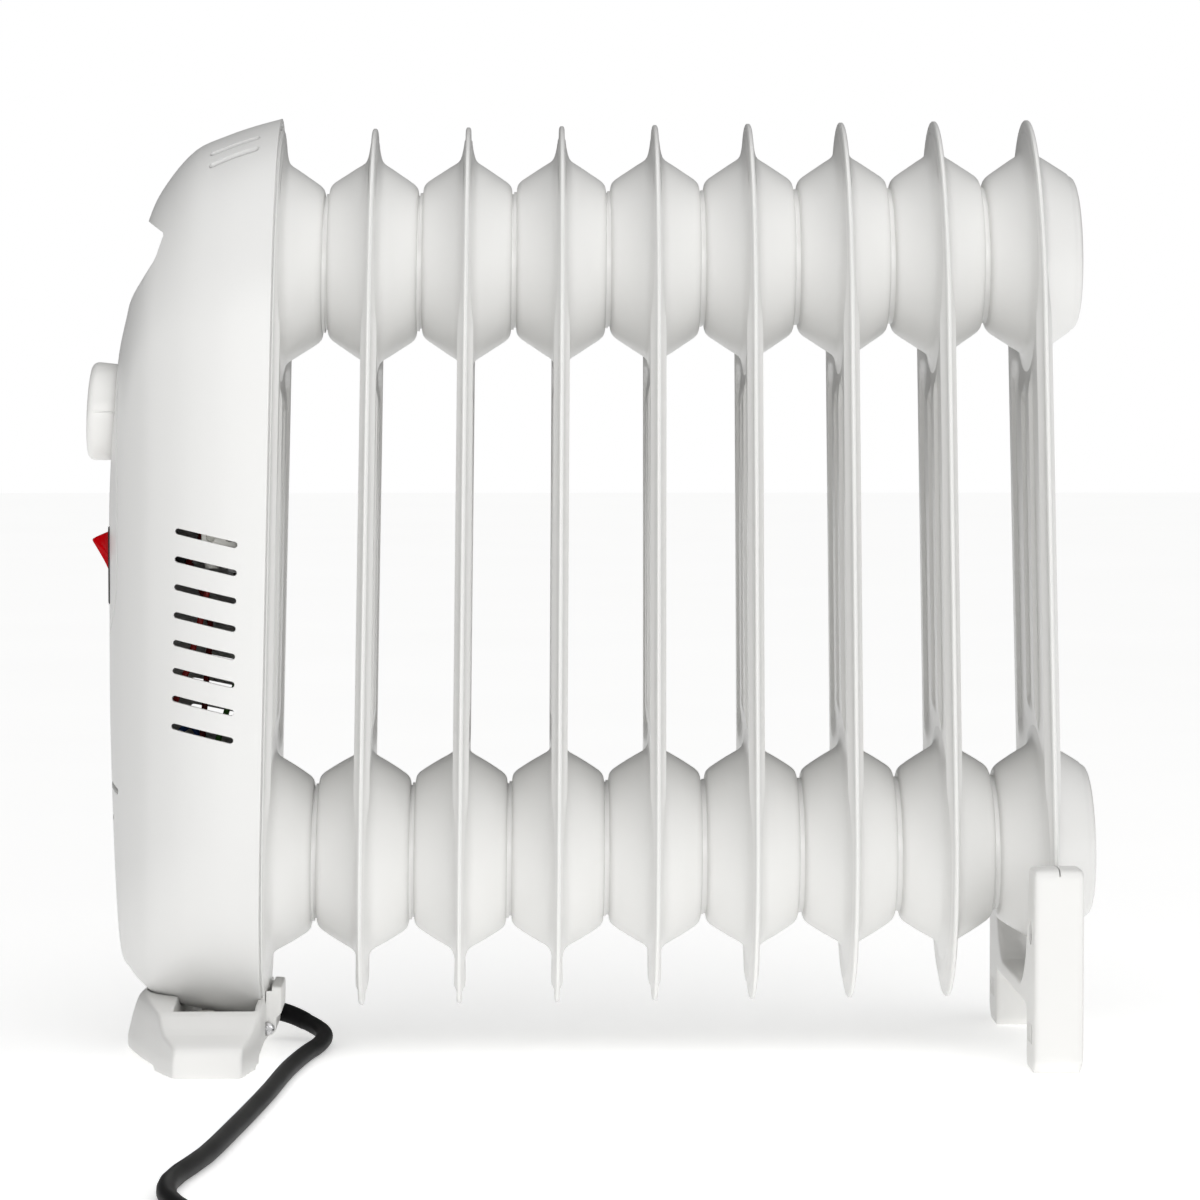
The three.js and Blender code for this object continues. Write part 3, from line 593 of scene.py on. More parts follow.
def make_plug():
    """Round two pin plug: flat face, grip waisted towards the cord, grooves for earth clips in its
    sides.
    """
    body = turned("plug", [(PLUG_FACE + x, r) for x, r in PLUG_SECTION], 72)
    well = turned("well", [(PLUG_FACE - 1, 15.6), (PLUG_FACE + 0.8, 15.6), (PLUG_FACE + 0.8, 0)])
    rails = []
    for side in (-1, 1):
        low, high = sorted((side * 15.2, side * 24))
        rails.append(box("rail", PLUG_FACE - 1, PLUG_FACE + 17, -2.7, 2.7, low, high))
    for k in range(6):
        x = PLUG_FACE + 34 + 2.6 * k
        for side in (-1, 1):
            low, high = sorted((side * 12, side * 16))
            rails.append(box("grip", x, x + 1, low, high, -7, 7))
    cut(body, well, *rails)
    move(body, shifted(0, PLUG_Y, PLUG_Z))
    return dress(body, "heater", CORD_RUBBER, "black_rubber", "plug_body")


def make_pin(number, side):
    profile = [(PLUG_FACE + x, r) for x, r in PIN_SECTION]
    pin = turned(f"plug_contact_{number}", profile, 32)
    move(pin, shifted(0, PLUG_Y + side * 9.5, PLUG_Z))
    return dress(pin, "heater", STEEL, "bright_steel", f"plug_pin_{number}")


def make_coil_tie():
    """Flat strap folded once round the coil."""
    near = COIL_CENTRE[1] - COIL_RADIUS - CORD_RADIUS - 0.7
    far = near + 2 * CORD_DIAMETER + 4.5
    low, high = 0.6, COIL_FLOOR + 2 * CORD_DIAMETER + 0.6
    middle, rise = (near + far) / 2, (low + high) / 2
    outline = rounded_rectangle((far - near) / 2, (high - low) / 2, 3.2)
    rings = []
    for x, grow in ((-4, 0), (-4, 0.7), (-3.6, 0.9), (3.6, 0.9), (4, 0.7), (4, 0), (-4, 0)):
        ring = []
        for y, z in outline:
            out = Vector((0, y, z)).normalized() * grow
            height = max(rise + z + out.z, 0.15)
            ring.append((COIL_CENTRE[0] + x, middle + y + out.y, height))
        rings.append(ring)
    tie = loft("cord_tie", rings, capped=False)
    return dress(tie, "heater", BLACK_PLASTIC, "black_plastic", "coil_tie")


lead, lead_path = make_lead()
boot = make_boot(lead_path)
plug = make_plug()
pins = [make_pin(1, -1), make_pin(2, 1)]
tie = make_coil_tie()


# ------------------------------------------------------------------------------- fins
# How far in from the rim's edge the columns of a fin's skin lie.
FIN_OFFSETS = (0, 0.35, 0.9, 2.6, 4.3, 4.8, 5.4, 6, 6.8, 7.8, 9)
FIN_INSET = FIN_OFFSETS[-1]
INNER_WIDTH = FIN_HALF_WIDTH - FIN_INSET
FIN_COLUMNS = (
    46, 44, 42.4, 41.7, 41, 40.4, 39.8, 37, 34, 30, 26, 23, 20.4, 19.8, 19.2, 18.5, 17.8,
    15, 12, 9.4, 8.6, 8, 7.4, 6.8, 5.6, 2.6, 0,
)
# Pressed hollows of a fin's face: middle, half width, and lowest and highest point.
FIN_HOLLOWS = ((0, 7.6, -58, 65.7), (30, 11, -71.2, 76.5), (-30, 11, -71.2, 76.5))
# Section of a header boss: radius, and distance from the fin's middle plane.
BOSS_SECTION = (
    (45.2, 1.52), (44.5, 1.66), (43.4, 1.82), (42.3, 2.02), (40.6, 2.4), (39, 2.95),
    (38, 3.7), (37.3, 4.6), (36.7, 5.6), (36, 6.8), (35.2, 8.1), (34.4, 9.4),
    (33.5, 10.8), (32.6, 12.2), (31.9, 13.3), (31.4, 14), (31, 14.6), (30.6, 15.2),
    (30.1, 15.8), (29.5, 16.4), (28.8, 16.9), (28, 17.2), (27.2, 17.35), (26.2, 17.4),
    (26, 17.5),
)
END_SECTION = (
    (29.7, 15.9), (29.3, 16.7), (28.6, 17.5), (27.4, 18.1), (25.8, 18.5), (22, 18.8),
    (14, 19.05), (6, 19.15), (0, 19.2),
)


def boss_reach(header):
    return (FIN_PITCH - FIN_SPLAY * header) / 2


def hollow_depth(y, z, hollow):
    """How far a point lies in a pressed hollow, whose ends slope more gently than its sides."""
    middle, half_width, low, high = hollow
    nearest = min(max(z, low + half_width), high - half_width)
    slope = 0.6 + 0.9 * smoothstep(0, half_width, abs(z - nearest))
    return smoothstep(-slope, slope, half_width - math.hypot(y - middle, z - nearest))


def skin_height(y, z, offset):
    """Distance of a fin's skin from its middle plane."""
    if offset < 0.9:
        return RIM_HALF - 0.55 * (1 - offset / 0.9) ** 2
    height = RIM_HALF + (SKIN_HALF - RIM_HALF) * smoothstep(4.3, 5.4, offset)
    header = min(math.hypot(y, z - UPPER_HEADER), math.hypot(y, z - LOWER_HEADER))
    rib = smoothstep(5.4, 7.8, offset) * smoothstep(45.5, 57, header)
    for hollow in FIN_HOLLOWS:
        rib *= 1 - hollow_depth(y, z, hollow)
    return height + RIB_HEIGHT * rib


def fin_rows():
    """Each row is (turn round the arch, height where the arch starts)."""
    straight = FIN_HALF_HEIGHT - FIN_ARCH
    rows = [(-PI / 2 * (1 - i / 26), -straight) for i in range(26)]
    low, step = -straight, 2.4
    while low < straight:
        rows.append((0, low))
        level = abs(low + straight / 10)
        low += step if level > straight / 2.4 else 3 * step
    rows += [(PI / 2 * i / 26, straight) for i in range(27)]
    return rows


def fin_row(turn, level):
    """The points (Y, Z, offset) across one row, from rim to rim."""
    def place(offset, across):
        y = across * (FIN_HALF_WIDTH - offset) * math.cos(turn)
        z = level + (FIN_ARCH - offset) * math.sin(turn)
        return (y, z, offset)

    inner = [y / INNER_WIDTH for y in FIN_COLUMNS]
    row = [place(offset, -1) for offset in FIN_OFFSETS]
    row += [place(FIN_INSET, -y) for y in inner]
    row += [place(FIN_INSET, y) for y in reversed(inner[:-1])]
    return row + [place(offset, 1) for offset in reversed(FIN_OFFSETS)]


def boss_profile(header, capped):
    reach = boss_reach(header)
    shift = reach - 18.35
    if capped:
        body = [(r, h) for r, h in BOSS_SECTION if h < 15.5]
        return [(r, h + shift * smoothstep(4, 12, h)) for r, h in body + list(END_SECTION)]
    body = [(r, h + shift * smoothstep(4, 12, h)) for r, h in BOSS_SECTION]
    return body + [(26, reach + 0.12), (24, reach + 0.12)]


def fin_mesh(name, caps):
    """One fin as a skin each side, a rim with a fine weld line, and four header bosses.
    Caps says which of its bosses are closed: (side, header) pairs."""
    rows = [fin_row(turn, level) for turn, level in fin_rows()]
    width = len(rows[0])
    points, faces = [], []
    for side in (-1, 1):
        start = len(points)
        for row in rows:
            points += [(side * skin_height(y, z, offset), y, z) for y, z, offset in row]
        for j in range(len(rows) - 1):
            for i in range(width - 1):
                a = start + j * width + i
                faces.append((a, a + 1, a + 1 + width, a + width))
    half = len(points) // 2
    for column in (0, width - 1):
        weld = len(points)
        points += [(0, row[column][0] * 0.9965, row[column][1]) for row in rows]
        for j in range(len(rows) - 1):
            a, b = j * width + column, (j + 1) * width + column
            faces.append((a, b, weld + j + 1, weld + j))
            faces.append((weld + j, weld + j + 1, b + half, a + half))
    for side in (-1, 1):
        for header in (UPPER_HEADER, LOWER_HEADER):
            profile = boss_profile(header, (side, header) in caps)
            ring_points, ring_faces = turned_parts([(side * h, r) for r, h in profile], 80)
            base = len(points)
            points += [(x, y, z + header) for x, y, z in ring_points]
            closing = 1 if (side, header) in caps else 2
            faces += [tuple(base + k for k in face) for face in ring_faces[:-closing]]
    return mesh_from(name, points, faces, FIN_ANGLE)


def make_fins():
    meshes = {
        "first": fin_mesh("fin_first", {(-1, UPPER_HEADER)}),
        "middle": fin_mesh("fin_middle", set()),
        "last": fin_mesh("fin_last", {(1, UPPER_HEADER), (1, LOWER_HEADER)}),
    }
    for number in range(1, FIN_COUNT + 1):
        kind = {1: "first", FIN_COUNT: "last"}.get(number, "middle")
        fin = link(f"radiator_fin_{number}", meshes[kind])
        step = number - MIDDLE_FIN
        fin.location = Vector((STACK_X + step * FIN_PITCH, 0, STACK_Z + step * FIN_RISE)) * MM
        fin.rotation_euler = (0, -step * FIN_SPLAY, 0)
        dress(fin, "heater", ENAMEL, "white_enamel", f"fin_{number}")


make_fins()


# ---------------------------------------------------------------------- control cover
# Each section: depth from the fin (0) to the front (1), then how much of the height
# above the middle, the height below it and the width is left there.
COVER_SECTIONS = (
    (0, 1, 1, 1),
    (0.15, 0.984, 0.998, 0.998),
    (0.3, 0.964, 0.993, 0.985),
    (0.49, 0.93, 0.98, 0.93),
    (0.675, 0.845, 0.96, 0.81),
    (0.762, 0.77, 0.94, 0.72),
    (0.877, 0.58, 0.895, 0.55),
    (0.932, 0.48, 0.845, 0.425),
    (0.985, 0.23, 0.44, 0.215),
    (1, 0.06, 0.12, 0.07),
)


def first_fin_x(z):
    step = 1 - MIDDLE_FIN
    return STACK_X + step * FIN_PITCH - step * FIN_SPLAY * (z - STACK_Z)


def arch_outline(half_width, bottom, top, arch_bottom, arch_top, steps):
    outline = []
    for i in range(steps + 1):
        turn = PI + PI * i / steps
        z = bottom + arch_bottom + arch_bottom * math.sin(turn)
        outline.append((half_width * math.cos(turn), z))
    for i in range(steps + 1):
        turn = PI * i / steps
        outline.append((half_width * math.cos(turn), top - arch_top + arch_top * math.sin(turn)))
    return outline


def cover_ring(section, inset, overrun=0):
    depth, above, below, side = section
    centre = (COVER_TOP + COVER_BOTTOM) / 2
    half = (COVER_TOP - COVER_BOTTOM) / 2
    front = COVER_FRONT + inset
    width = max(COVER_HALF_WIDTH * side - inset, 1)
    arch = max(COVER_ARCH * side - inset, 1.2)
    bottom, top = centre - half * below + inset, centre + half * above - inset
    outline = arch_outline(width, bottom, top, arch, arch, 40)
    left, right = outline[:41], outline[41:]
    sides = 22
    rise = [i / sides for i in range(1, sides)]
    climb = [(right[0][0], left[-1][1] + (right[0][1] - left[-1][1]) * t) for t in rise]
    fall = [(left[0][0], right[-1][1] + (left[0][1] - right[-1][1]) * t) for t in rise]
    ring = []
    for y, z in left + climb + right + fall:
        back = first_fin_x(z)
        ring.append((back + depth * (front - back) + overrun, y, z))
    return ring


def cover_rings(inset, overrun=0):
    """Rings along a smooth curve through the cover's sections."""
    scaled = [Vector((s * 60, above * 172, side * 60)) for s, above, _, side in COVER_SECTIONS]
    rings = []
    tables = [Vector((s, a, b)) for s, a, b, _ in COVER_SECTIONS]
    sides = [Vector((w, 0, 0)) for *_, w in COVER_SECTIONS]
    lengths = [max((b - a).length, 1) for a, b in zip(scaled, scaled[1:])]
    steps = [max(3, round(length / 3.2)) for length in lengths]
    for i, count in enumerate(steps):
        for j in range(count + (1 if i == len(steps) - 1 else 0)):
            t = j / count
            s, above, below = hermite(tables, lengths, i, t)
            width = hermite(sides, lengths, i, t)[0]
            rings.append(cover_ring((s, above, below, width), inset))
    if overrun:
        rings.insert(0, cover_ring(COVER_SECTIONS[0], inset, overrun))
    return rings


def hermite(rows, lengths, i, t):
    """A smooth value between rows i and i + 1, with slopes shared by neighbours."""
    def slope(k):
        if k == 0:
            return (rows[1] - rows[0]) / lengths[0]
        if k == len(rows) - 1:
            return (rows[-1] - rows[-2]) / lengths[-1]
        return (rows[k + 1] - rows[k - 1]) / (lengths[k - 1] + lengths[k])

    h = lengths[i]
    a, b = rows[i], rows[i + 1]
    return (
        (2 * t**3 - 3 * t**2 + 1) * a
        + (t**3 - 2 * t**2 + t) * h * slope(i)
        + (3 * t**2 - 2 * t**3) * b
        + (t**3 - t**2) * h * slope(i + 1)
    )


def on_knob_axis(obj):
    """From the knob's own frame, +X outward along its axis, to its place."""
    turn = Matrix.Rotation(PI + KNOB_TILT, 4, "Y")
    return move(obj, shifted(*KNOB_BASE) @ turn)


def lip_notch(name):
    """The step across the front that leaves a lip above the knob, with eased corners."""
    corners = [
        (-160.9, 313.4), (-160.7, 312.3), (-162.2, 307.9), (-163.2, 304.9), (-164.4, 302.4),
        (-168.8, 296), (-174, 289.2), (-182, 276.8), (-184, 275.2), (-202, 275.2),
        (-202, 329), (-181, 327.4),
    ]
    return prism(name, corners, "y", -70, 70)


VENT_WIDTH = 2.3
VENT_SLOPE = 0.226
SIDE_VENTS = 8


def vent_cutters():
    """Sloping slots in the sides, straight ones in the top and pairs low on the front."""
    vents = []
    for i in range(SIDE_VENTS):
        centre = (-143.85 - 0.26 * i, 199.15 - 10.43 * i)
        outline = capsule(centre, 24, VENT_WIDTH, -VENT_SLOPE)
        for low, high in ((40, 70), (-70, -40)):
            vents.append(prism("vent", outline, "y", low, high))
    for y in (-31, -24, 24, 31):
        vents.append(prism("vent", capsule((-134.5, y), 19, 2.5), "z", 300, 370))
    for z, outer in ((108, 28), (96, 21), (84, 14)):
        middle = (outer + 2) / 2
        for side in (-1, 1):
            centre = (side * middle, z - 0.23 * middle)
            outline = capsule(centre, outer - 2, VENT_WIDTH, -VENT_SLOPE * side)
            vents.append(prism("vent", outline, "x", -190, -165))
    return vents


def panel_marks():
    """Shallow groove round the oval panel of the controls, and a scale round the knob."""
    edge = prism("marks", capsule((0, 215), 115, 55, PI / 2, 16), "x", -196, -165)
    cut(edge, prism("panel", capsule((0, 215), 112.8, 52.8, PI / 2, 16), "x", -197, -164))
    _, _, knob_z = KNOB_BASE
    ticks = []
    for i in range(SCALE_MARKS):
        turn = PI * (1.25 - 1.5 * i / (SCALE_MARKS - 1))
        centre = (SCALE_RADIUS * math.cos(turn), knob_z + SCALE_RADIUS * math.sin(turn))
        ticks.append(prism("tick", capsule(centre, 2.4, 0.9, turn), "x", -196, -165))
    combine(edge, ticks, "UNION")
    cut(edge, loft("core", cover_rings(MARK_DEPTH)))
    return edge


def make_cover():
    """Shell with a seat for the knob, a window for the switch, and its slots and marks."""
    cover = loft("control_cover_shell", cover_rings(0))
    marks = panel_marks()
    hollow = loft("hollow", cover_rings(COVER_WALL, 6))
    wall = COVER_WALL + 0.3
    walls = ((wall, 0), (0, wall), (0, -wall))
    cut(hollow, *[move(lip_notch("wall"), shifted(x, 0, z)) for x, z in walls])
    pad = on_knob_axis(turned("pad", [(-2.7, 0), (-2.7, 22.2), (8, 22.2), (8, 0)], 72))
    combine(pad, [link("outside", cover.data.copy())], "INTERSECT")
    cut(cover, hollow)
    combine(cover, [pad], "UNION")
    _, _, z = SWITCH_PIVOT
    opening = [(y, z + v) for y, v in rounded_rectangle(13.1, 15.2, 1.7)]
    window = prism("window", opening, "x", -200, -170)
    recess = on_knob_axis(turned("recess", [(-0.3, 0), (-0.3, 20.2), (30, 20.2), (30, 0)], 96))
    bush = on_knob_axis(turned("bush", [(-10, 0), (-10, 4.3), (5, 4.3), (5, 0)], 40))
    lead_way = prism("lead_way", capsule((-142.4, 29), 11, 11), "z", 5, 50)
    cut(cover, lip_notch("notch"), marks, window, recess, bush, lead_way, *vent_cutters())
    return dress(cover, "heater", WHITE_PLASTIC, "white_plastic", "control_cover")


make_cover()


# ------------------------------------------------------------------------- thermostat
KNOB_SECTION = (
    (0, 0), (0, 17.4), (0.25, 18), (0.8, 18.35), (9.2, 18.82), (10.3, 18.78), (11.2, 18.45),
    (11.9, 17.85), (12.35, 17), (12.6, 15.6), (12.8, 12.5), (13, 8), (13.15, 3), (13.2, 0),
)


def make_knob():
    """Domed knob, hollow behind, with a pointer pressed into its face and ridged sides."""
    knob = turned("control_knob", KNOB_SECTION, 96)
    ridges = []
    for side in (-1, 1):
        low, high = sorted((side * 17.5, side * 18.9))
        ridges.append(box("ridge", 2.6, 10.2, low, high, -0.24, 0.24))
    combine(knob, ridges, "UNION")
    pointer = prism("pointer", capsule((0, -11.5), 9.5, 2, PI / 2), "x", 11.2, 15)
    cavity = turned("cavity", [(-1, 0), (-1, 9), (3.4, 9), (3.4, 0)], 48)
    bore = turned("bore", [(-1, 0), (-1, 3.3), (9, 3.3), (9, 0)], 40)
    cut(knob, pointer, cavity, bore)
    return dress(on_knob_axis(knob), "knob", KNOB_PLASTIC, "ivory_plastic", "thermostat_knob")


def make_nut():
    """Chamfered hexagon nut with its washer."""
    blank = prism("thermostat_locknut", hexagon(7), "x", 0.5, 2.8)
    rounding = turned("rounding", [(0.5, 0), (0.5, 7), (2.2, 7), (2.8, 6.1), (2.8, 0)], 48)
    combine(blank, [rounding], "INTERSECT")
    washer = turned("washer", [(0, 0), (0, 6.6), (0.1, 6.8), (0.4, 6.8), (0.5, 6.6), (0.6, 0)], 48)
    combine(blank, [washer], "UNION")
    cut(blank, turned("bore", [(-1, 0), (-1, 4.3), (4, 4.3), (4, 0)], 40))
    return dress(on_knob_axis(blank), "heater", STEEL, "bright_steel", "thermostat_nut")


make_knob()
make_nut()


# ----------------------------------------------------------------------------- switch
# Front of the rocker's upper half, drawn level: (outward, upward) from its pivot.
ROCKER_FACE = ((-4.2, 0), (-4.35, 1.5), (-4.75, 4), (-5.25, 6.5), (-5.85, 9.2), (-6.45, 11.8))
ROCKER_END = ((-6.4, 12.3), (-6.05, 12.65), (-5, 12.9), (-3.5, 13.1), (-1.2, 13.3), (1, 13.5))
ROCKER_BACK = (4, 6)
ROCKER_HALF_WIDTH = 10.3


def in_switch(name, x0, x1, half_y, half_z, radius):
    outline = rounded_rectangle(half_y, half_z, radius)
    return prism(name, [(y, SWITCH_PIVOT[2] + z) for y, z in outline], "x", x0, x1)


def make_switch_frame():
    housing = in_switch("switch_frame", -184.3, -183, 12.8, 14.9, 1.5)
    bevel(housing, 0.4, 3, 40)
    body = in_switch("body", -183.2, -162, 12.3, 14.6, 0.8)
    blades = []
    for low, high in ((-6, -5.2), (5.2, 6)):
        z = SWITCH_PIVOT[2]
        blades.append(box("blade", -162.5, -155, low, high, z - 3, z + 3))
    combine(housing, [body, *blades], "UNION")
    cut(housing, in_switch("well", -190, -172, 10.6, 14.1, 0.5))
    return dress(housing, "heater", BLACK_PLASTIC, "black_plastic", "switch_housing")


def make_rocker():
    """Saddle-faced rocker with a bar and a ring pressed into its two halves."""
    upper = [*ROCKER_FACE, *ROCKER_END, ROCKER_BACK]
    lower = [(x, -z) for x, z in reversed(upper[1:])]
    width = ROCKER_HALF_WIDTH
    rocker = prism("rocker_cap", upper + lower, "y", -width, width)
    bevel(rocker, 0.45, 3, 50)
    bar = box("bar", -9, -5.35, -0.45, 0.45, 6.2, 10.2)
    ring = turned("ring", [(-9, 0), (-9, 2.1), (-5.3, 2.1), (-5.3, 0)], 40)
    cut(ring, turned("core", [(-10, 0), (-10, 1.3), (-4, 1.3), (-4, 0)], 40))
    move(ring, shifted(0, 0, -8.2))
    cut(rocker, bar, ring)
    move(rocker, shifted(*SWITCH_PIVOT) @ Matrix.Rotation(-ROCKER_TILT, 4, "Y"))
    return dress(rocker, "rocker", RED_CAP, "red_plastic", "power_rocker")


make_switch_frame()
make_rocker()


# ------------------------------------------------------------------------------- feet
FOOT_BACK = -124.5
FOOT_NOSE = -178.5
# Half of the front foot's top, from its end to its middle: (distance out, height).
FOOT_TOP = (
    (82, 0), (82, 9.4), (81.3, 11), (79, 12.1), (74, 13.3), (69, 14.5), (64.5, 16.2),
    (60, 18.3), (56, 20), (52, 20.9), (44, 21.6), (30, 22.5), (15, 23.2), (0, 23.6),
)
FOOT_UNDER = ((60, 0), (57, 1.2))
# Each level of the front foot: height, and how far its nose is drawn in.
FOOT_LEVELS = ((0, 0), (6, 0), (13, 1.7), (18, 3.2), (21, 4.5), (24, 8))
# The lug under the first fin: its outline along the heater and the axis of its screw.
LUG = (
    (-131, 17), (-131, 7.5), (-124.5, 6.2), (-122, 6.8), (-120.6, 8.5), (-120.4, 10),
    (-120.4, 17),
)
LUG_SCREW = (-123.5, 0, 9.6)
PILLAR_X = -147
PILLAR_Y = 22
REAR_FOOT = (163.4, 182.2)
REAR_SCREW_Y = 68
REAR_SCREW_Z = 52
# Half of the rear foot's outline across the heater: (distance out, height).
YOKE = (
    (0, 22.5), (50.5, 22.5), (53, 21.4), (54, 19), (54, 3), (56, 0), (74, 0), (80, 5),
    (80, 73.6), (78.8, 75.8), (76.4, 76.7), (62.8, 76.7), (60.9, 75.6), (59.6, 71.5),
    (57, 60), (55, 53), (52, 46), (48.5, 40.8), (44, 36), (38.5, 32), (32, 29.5), (0, 29.5),
)


def soften(obj, voxel=0.9, rounds=5):
    """Rounds a piece's edges as a mould does."""
    grid = obj.modifiers.new("grid", "REMESH")
    grid.mode = "VOXEL"
    grid.voxel_size = voxel * MM
    even = obj.modifiers.new("even", "SMOOTH")
    even.factor = 0.5
    even.iterations = rounds
    return apply_modifiers(obj)


def in_fin(obj, number):
    """From a fin's own frame to the fin's place."""
    step = number - MIDDLE_FIN
    place = shifted(STACK_X + step * FIN_PITCH, 0, STACK_Z + step * FIN_RISE)
    return move(obj, place @ Matrix.Rotation(-step * FIN_SPLAY, 4, "Y"))


def fin_slot(number):
    """The room that a fin's rim and body take in a foot."""
    slots = []
    for inset, half in ((-0.3, 1.3), (4.7, 3.5)):
        height = FIN_HALF_HEIGHT - inset
        arch = FIN_ARCH - inset
        outline = arch_outline(FIN_HALF_WIDTH - inset, -height, height, arch, arch, 40)
        slots.append(in_fin(prism("slot", outline, "x", -half, half), number))
    return slots


def both_ways(half):
    """A closed outline from half of it, which runs from the middle or back to it."""
    other = [(-y, z) for y, z in reversed(half)]
    return list(half) + [point for point in other if point[0] != 0]


def foot_ring(z, draw_in):
    corners = [(FOOT_BACK, -52), (-129.8, -82), (-155.6, -82)]
    curve = [(-162, -67, 0), (-173, -30, 0), (FOOT_NOSE, 0, 0), (-173, 30, 0), (-162, 67, 0)]
    front = [(p.x, p.y) for p in smooth_path(curve, 6)]
    outline = corners + front + [(x, -y) for x, y in reversed(corners)]
    depth = FOOT_BACK - FOOT_NOSE
    return [(x + draw_in * (FOOT_BACK - x) / depth, y, z) for x, y in outline]


def upright(name, radius, x, y, z0, z1):
    outline = [(radius * math.cos(PI * i / 20), radius * math.sin(PI * i / 20)) for i in range(40)]
    return prism(name, [(x + a, y + b) for a, b in outline], "z", z0, z1)


def make_front_foot():
    """Wide sole with raised ends, a saddle that holds the first fin and a well for the cover."""
    foot = loft("front_sole", [foot_ring(z, draw_in) for z, draw_in in FOOT_LEVELS])
    outline = both_ways(FOOT_TOP)
    outline += [(-y, z) for y, z in FOOT_UNDER] + list(reversed(FOOT_UNDER))
    combine(foot, [prism("across", outline, "x", -190, -110)], "INTERSECT")
    hook = prism("hook", [(-16, -170), (16, -170), (16, -159.3), (-16, -159.3)], "x", -5, 7.4)
    lug = prism("lug", LUG, "y", -16, 16)
    cut(foot, box("arch", -130.5, -110, -54, 54, -1, 4.5))
    combine(foot, [in_fin(hook, 1), lug], "UNION")
    cut(foot, box("well", -157.5, -131, -50, 50, 7.5, 40))
    corners = [box("corner", -131.2, -127.1, a, b, 12, 40) for a, b in ((-50, -17), (38, 50))]
    cut(foot, *corners)
    soften(foot)
    cuts = [loft("room", cover_rings(-0.6)), *fin_slot(1)]
    collar = turned("collar", [(-140, 0), (-140, 7.2), (-131, 7.2), (-131, 0)], 48)
    cuts.append(move(collar, shifted(0, LEAD_EXIT[1], LEAD_EXIT[2])))
    cuts.append(tube("lead_hole", smooth_path(LEAD_ROUTE[:6], 4), 5.1, 32))
    for side in (-1, 1):
        cuts.append(upright("thread", 2.2, PILLAR_X, side * PILLAR_Y, -1, 12))
        cuts.append(upright("head", 4.4, PILLAR_X, side * PILLAR_Y, -1, 4))
    bore = turned("bore", [(4, 0), (4, 1.6), (16, 1.6), (16, 2.8), (19, 2.8), (19, 0)], 32)
    cuts.append(move(bore, shifted(*LUG_SCREW) @ Matrix.Rotation(-PI / 2, 4, "Z")))
    cut(foot, *cuts)
    return dress(foot, "heater", FOOT_PLASTIC, "white_plastic", "front_foot")


def make_rear_foot():
    """Yoke in two halves with a cross beam, square legs and moulding slots."""
    front, back = REAR_FOOT
    foot = prism("rear_yoke", both_ways(YOKE), "x", front, back)
    soften(foot, 1.1, 9)
    middle = (front + back) / 2 + 0.2
    cuts = fin_slot(FIN_COUNT)
    for side in (-1, 1):
        low, high = sorted((side * 59, side * 80.5))
        cuts.append(box("parting", middle - 0.2, middle + 0.2, low, high, 74.2, 80))
        low, high = sorted((side * 60, side * 75))
        cuts.append(box("hollow", 166, 179.6, low, high, 2.5, 14))
        for y in (60, 66, 72):
            low, high = sorted((side * y, side * (y + 2)))
            cuts.append(box("relief", 160, 167, low, high, 11, 18))
        for radius, depth in ((4.4, 169.4), (1.8, 178)):
            bore = turned("bore", [(160, 0), (160, radius), (depth, radius), (depth, 0)], 40)
            cuts.append(move(bore, shifted(0, side * REAR_SCREW_Y, REAR_SCREW_Z)))
    cut(foot, *cuts)
    return dress(foot, "heater", FOOT_PLASTIC, "white_plastic", "rear_foot")


def make_screw(name, place, head_radius, head, length, node):
    """Pan head screw with a cross recess. In its own frame +X points out of the head."""
    shank = 1.5
    profile = [
        (-length, 0), (-length + 0.4, 0.5), (-length + 2, shank), (0, shank),
        (0, head_radius * 0.94), (0.15, head_radius), (head * 0.35, head_radius),
        (head * 0.62, head_radius * 0.94), (head * 0.85, head_radius * 0.78),
        (head * 0.97, head_radius * 0.5), (head, 0),
    ]
    screw = turned(name, profile, 40)
    arm = head_radius * 0.52
    slots = [
        box("slot", head * 0.45, head + 1, -0.42, 0.42, -arm, arm),
        box("slot", head * 0.45, head + 1, -arm, arm, -0.42, 0.42),
    ]
    cut(screw, *slots)
    return dress(move(screw, place), "heater", STEEL, "bright_steel", node)


def make_pillar(number, side):
    """Hollow post with a stepped top that the cover stands on."""
    profile = [
        (7.8, 0), (7.8, 4.1), (8.2, 4.5), (14.6, 4.5), (15, 4.1), (15.2, 3.6), (16.8, 3.5),
        (17.2, 3.1), (17.2, 0),
    ]
    post = turned(f"cover_post_{number}", profile, 40)
    cut(post, turned("bore", [(0, 0), (0, 1.6), (14, 1.6), (14, 0)], 24))
    move(post, shifted(PILLAR_X, side * PILLAR_Y, 0) @ Matrix.Rotation(-PI / 2, 4, "Y"))
    return dress(post, "heater", IVORY_PLASTIC, "ivory_plastic", f"pillar_{number}")


make_front_foot()
make_rear_foot()
for number, side in ((1, 1), (2, -1)):
    make_pillar(number, side)
    downward = shifted(PILLAR_X, side * PILLAR_Y, 3.7) @ Matrix.Rotation(PI / 2, 4, "Y")
    make_screw(f"sole_screw_{number}", downward, 4, 2.1, 9.8, f"pillar_screw_{number}")
    forward = shifted(169.1, side * REAR_SCREW_Y, REAR_SCREW_Z) @ Matrix.Rotation(PI, 4, "Z")
    make_screw(f"yoke_screw_{number}", forward, 4, 2.1, 7.9, f"rear_foot_screw_{number}")
outward = shifted(*LUG_SCREW) @ Matrix.Rotation(-PI / 2, 4, "Z") @ shifted(16.3, 0, 0)
make_screw("clamp_screw", outward, 2.4, 1.4, 11, "saddle_screw")


# ------------------------------------------------------------- inside the control cover
WIRE_RADIUS = 1.2
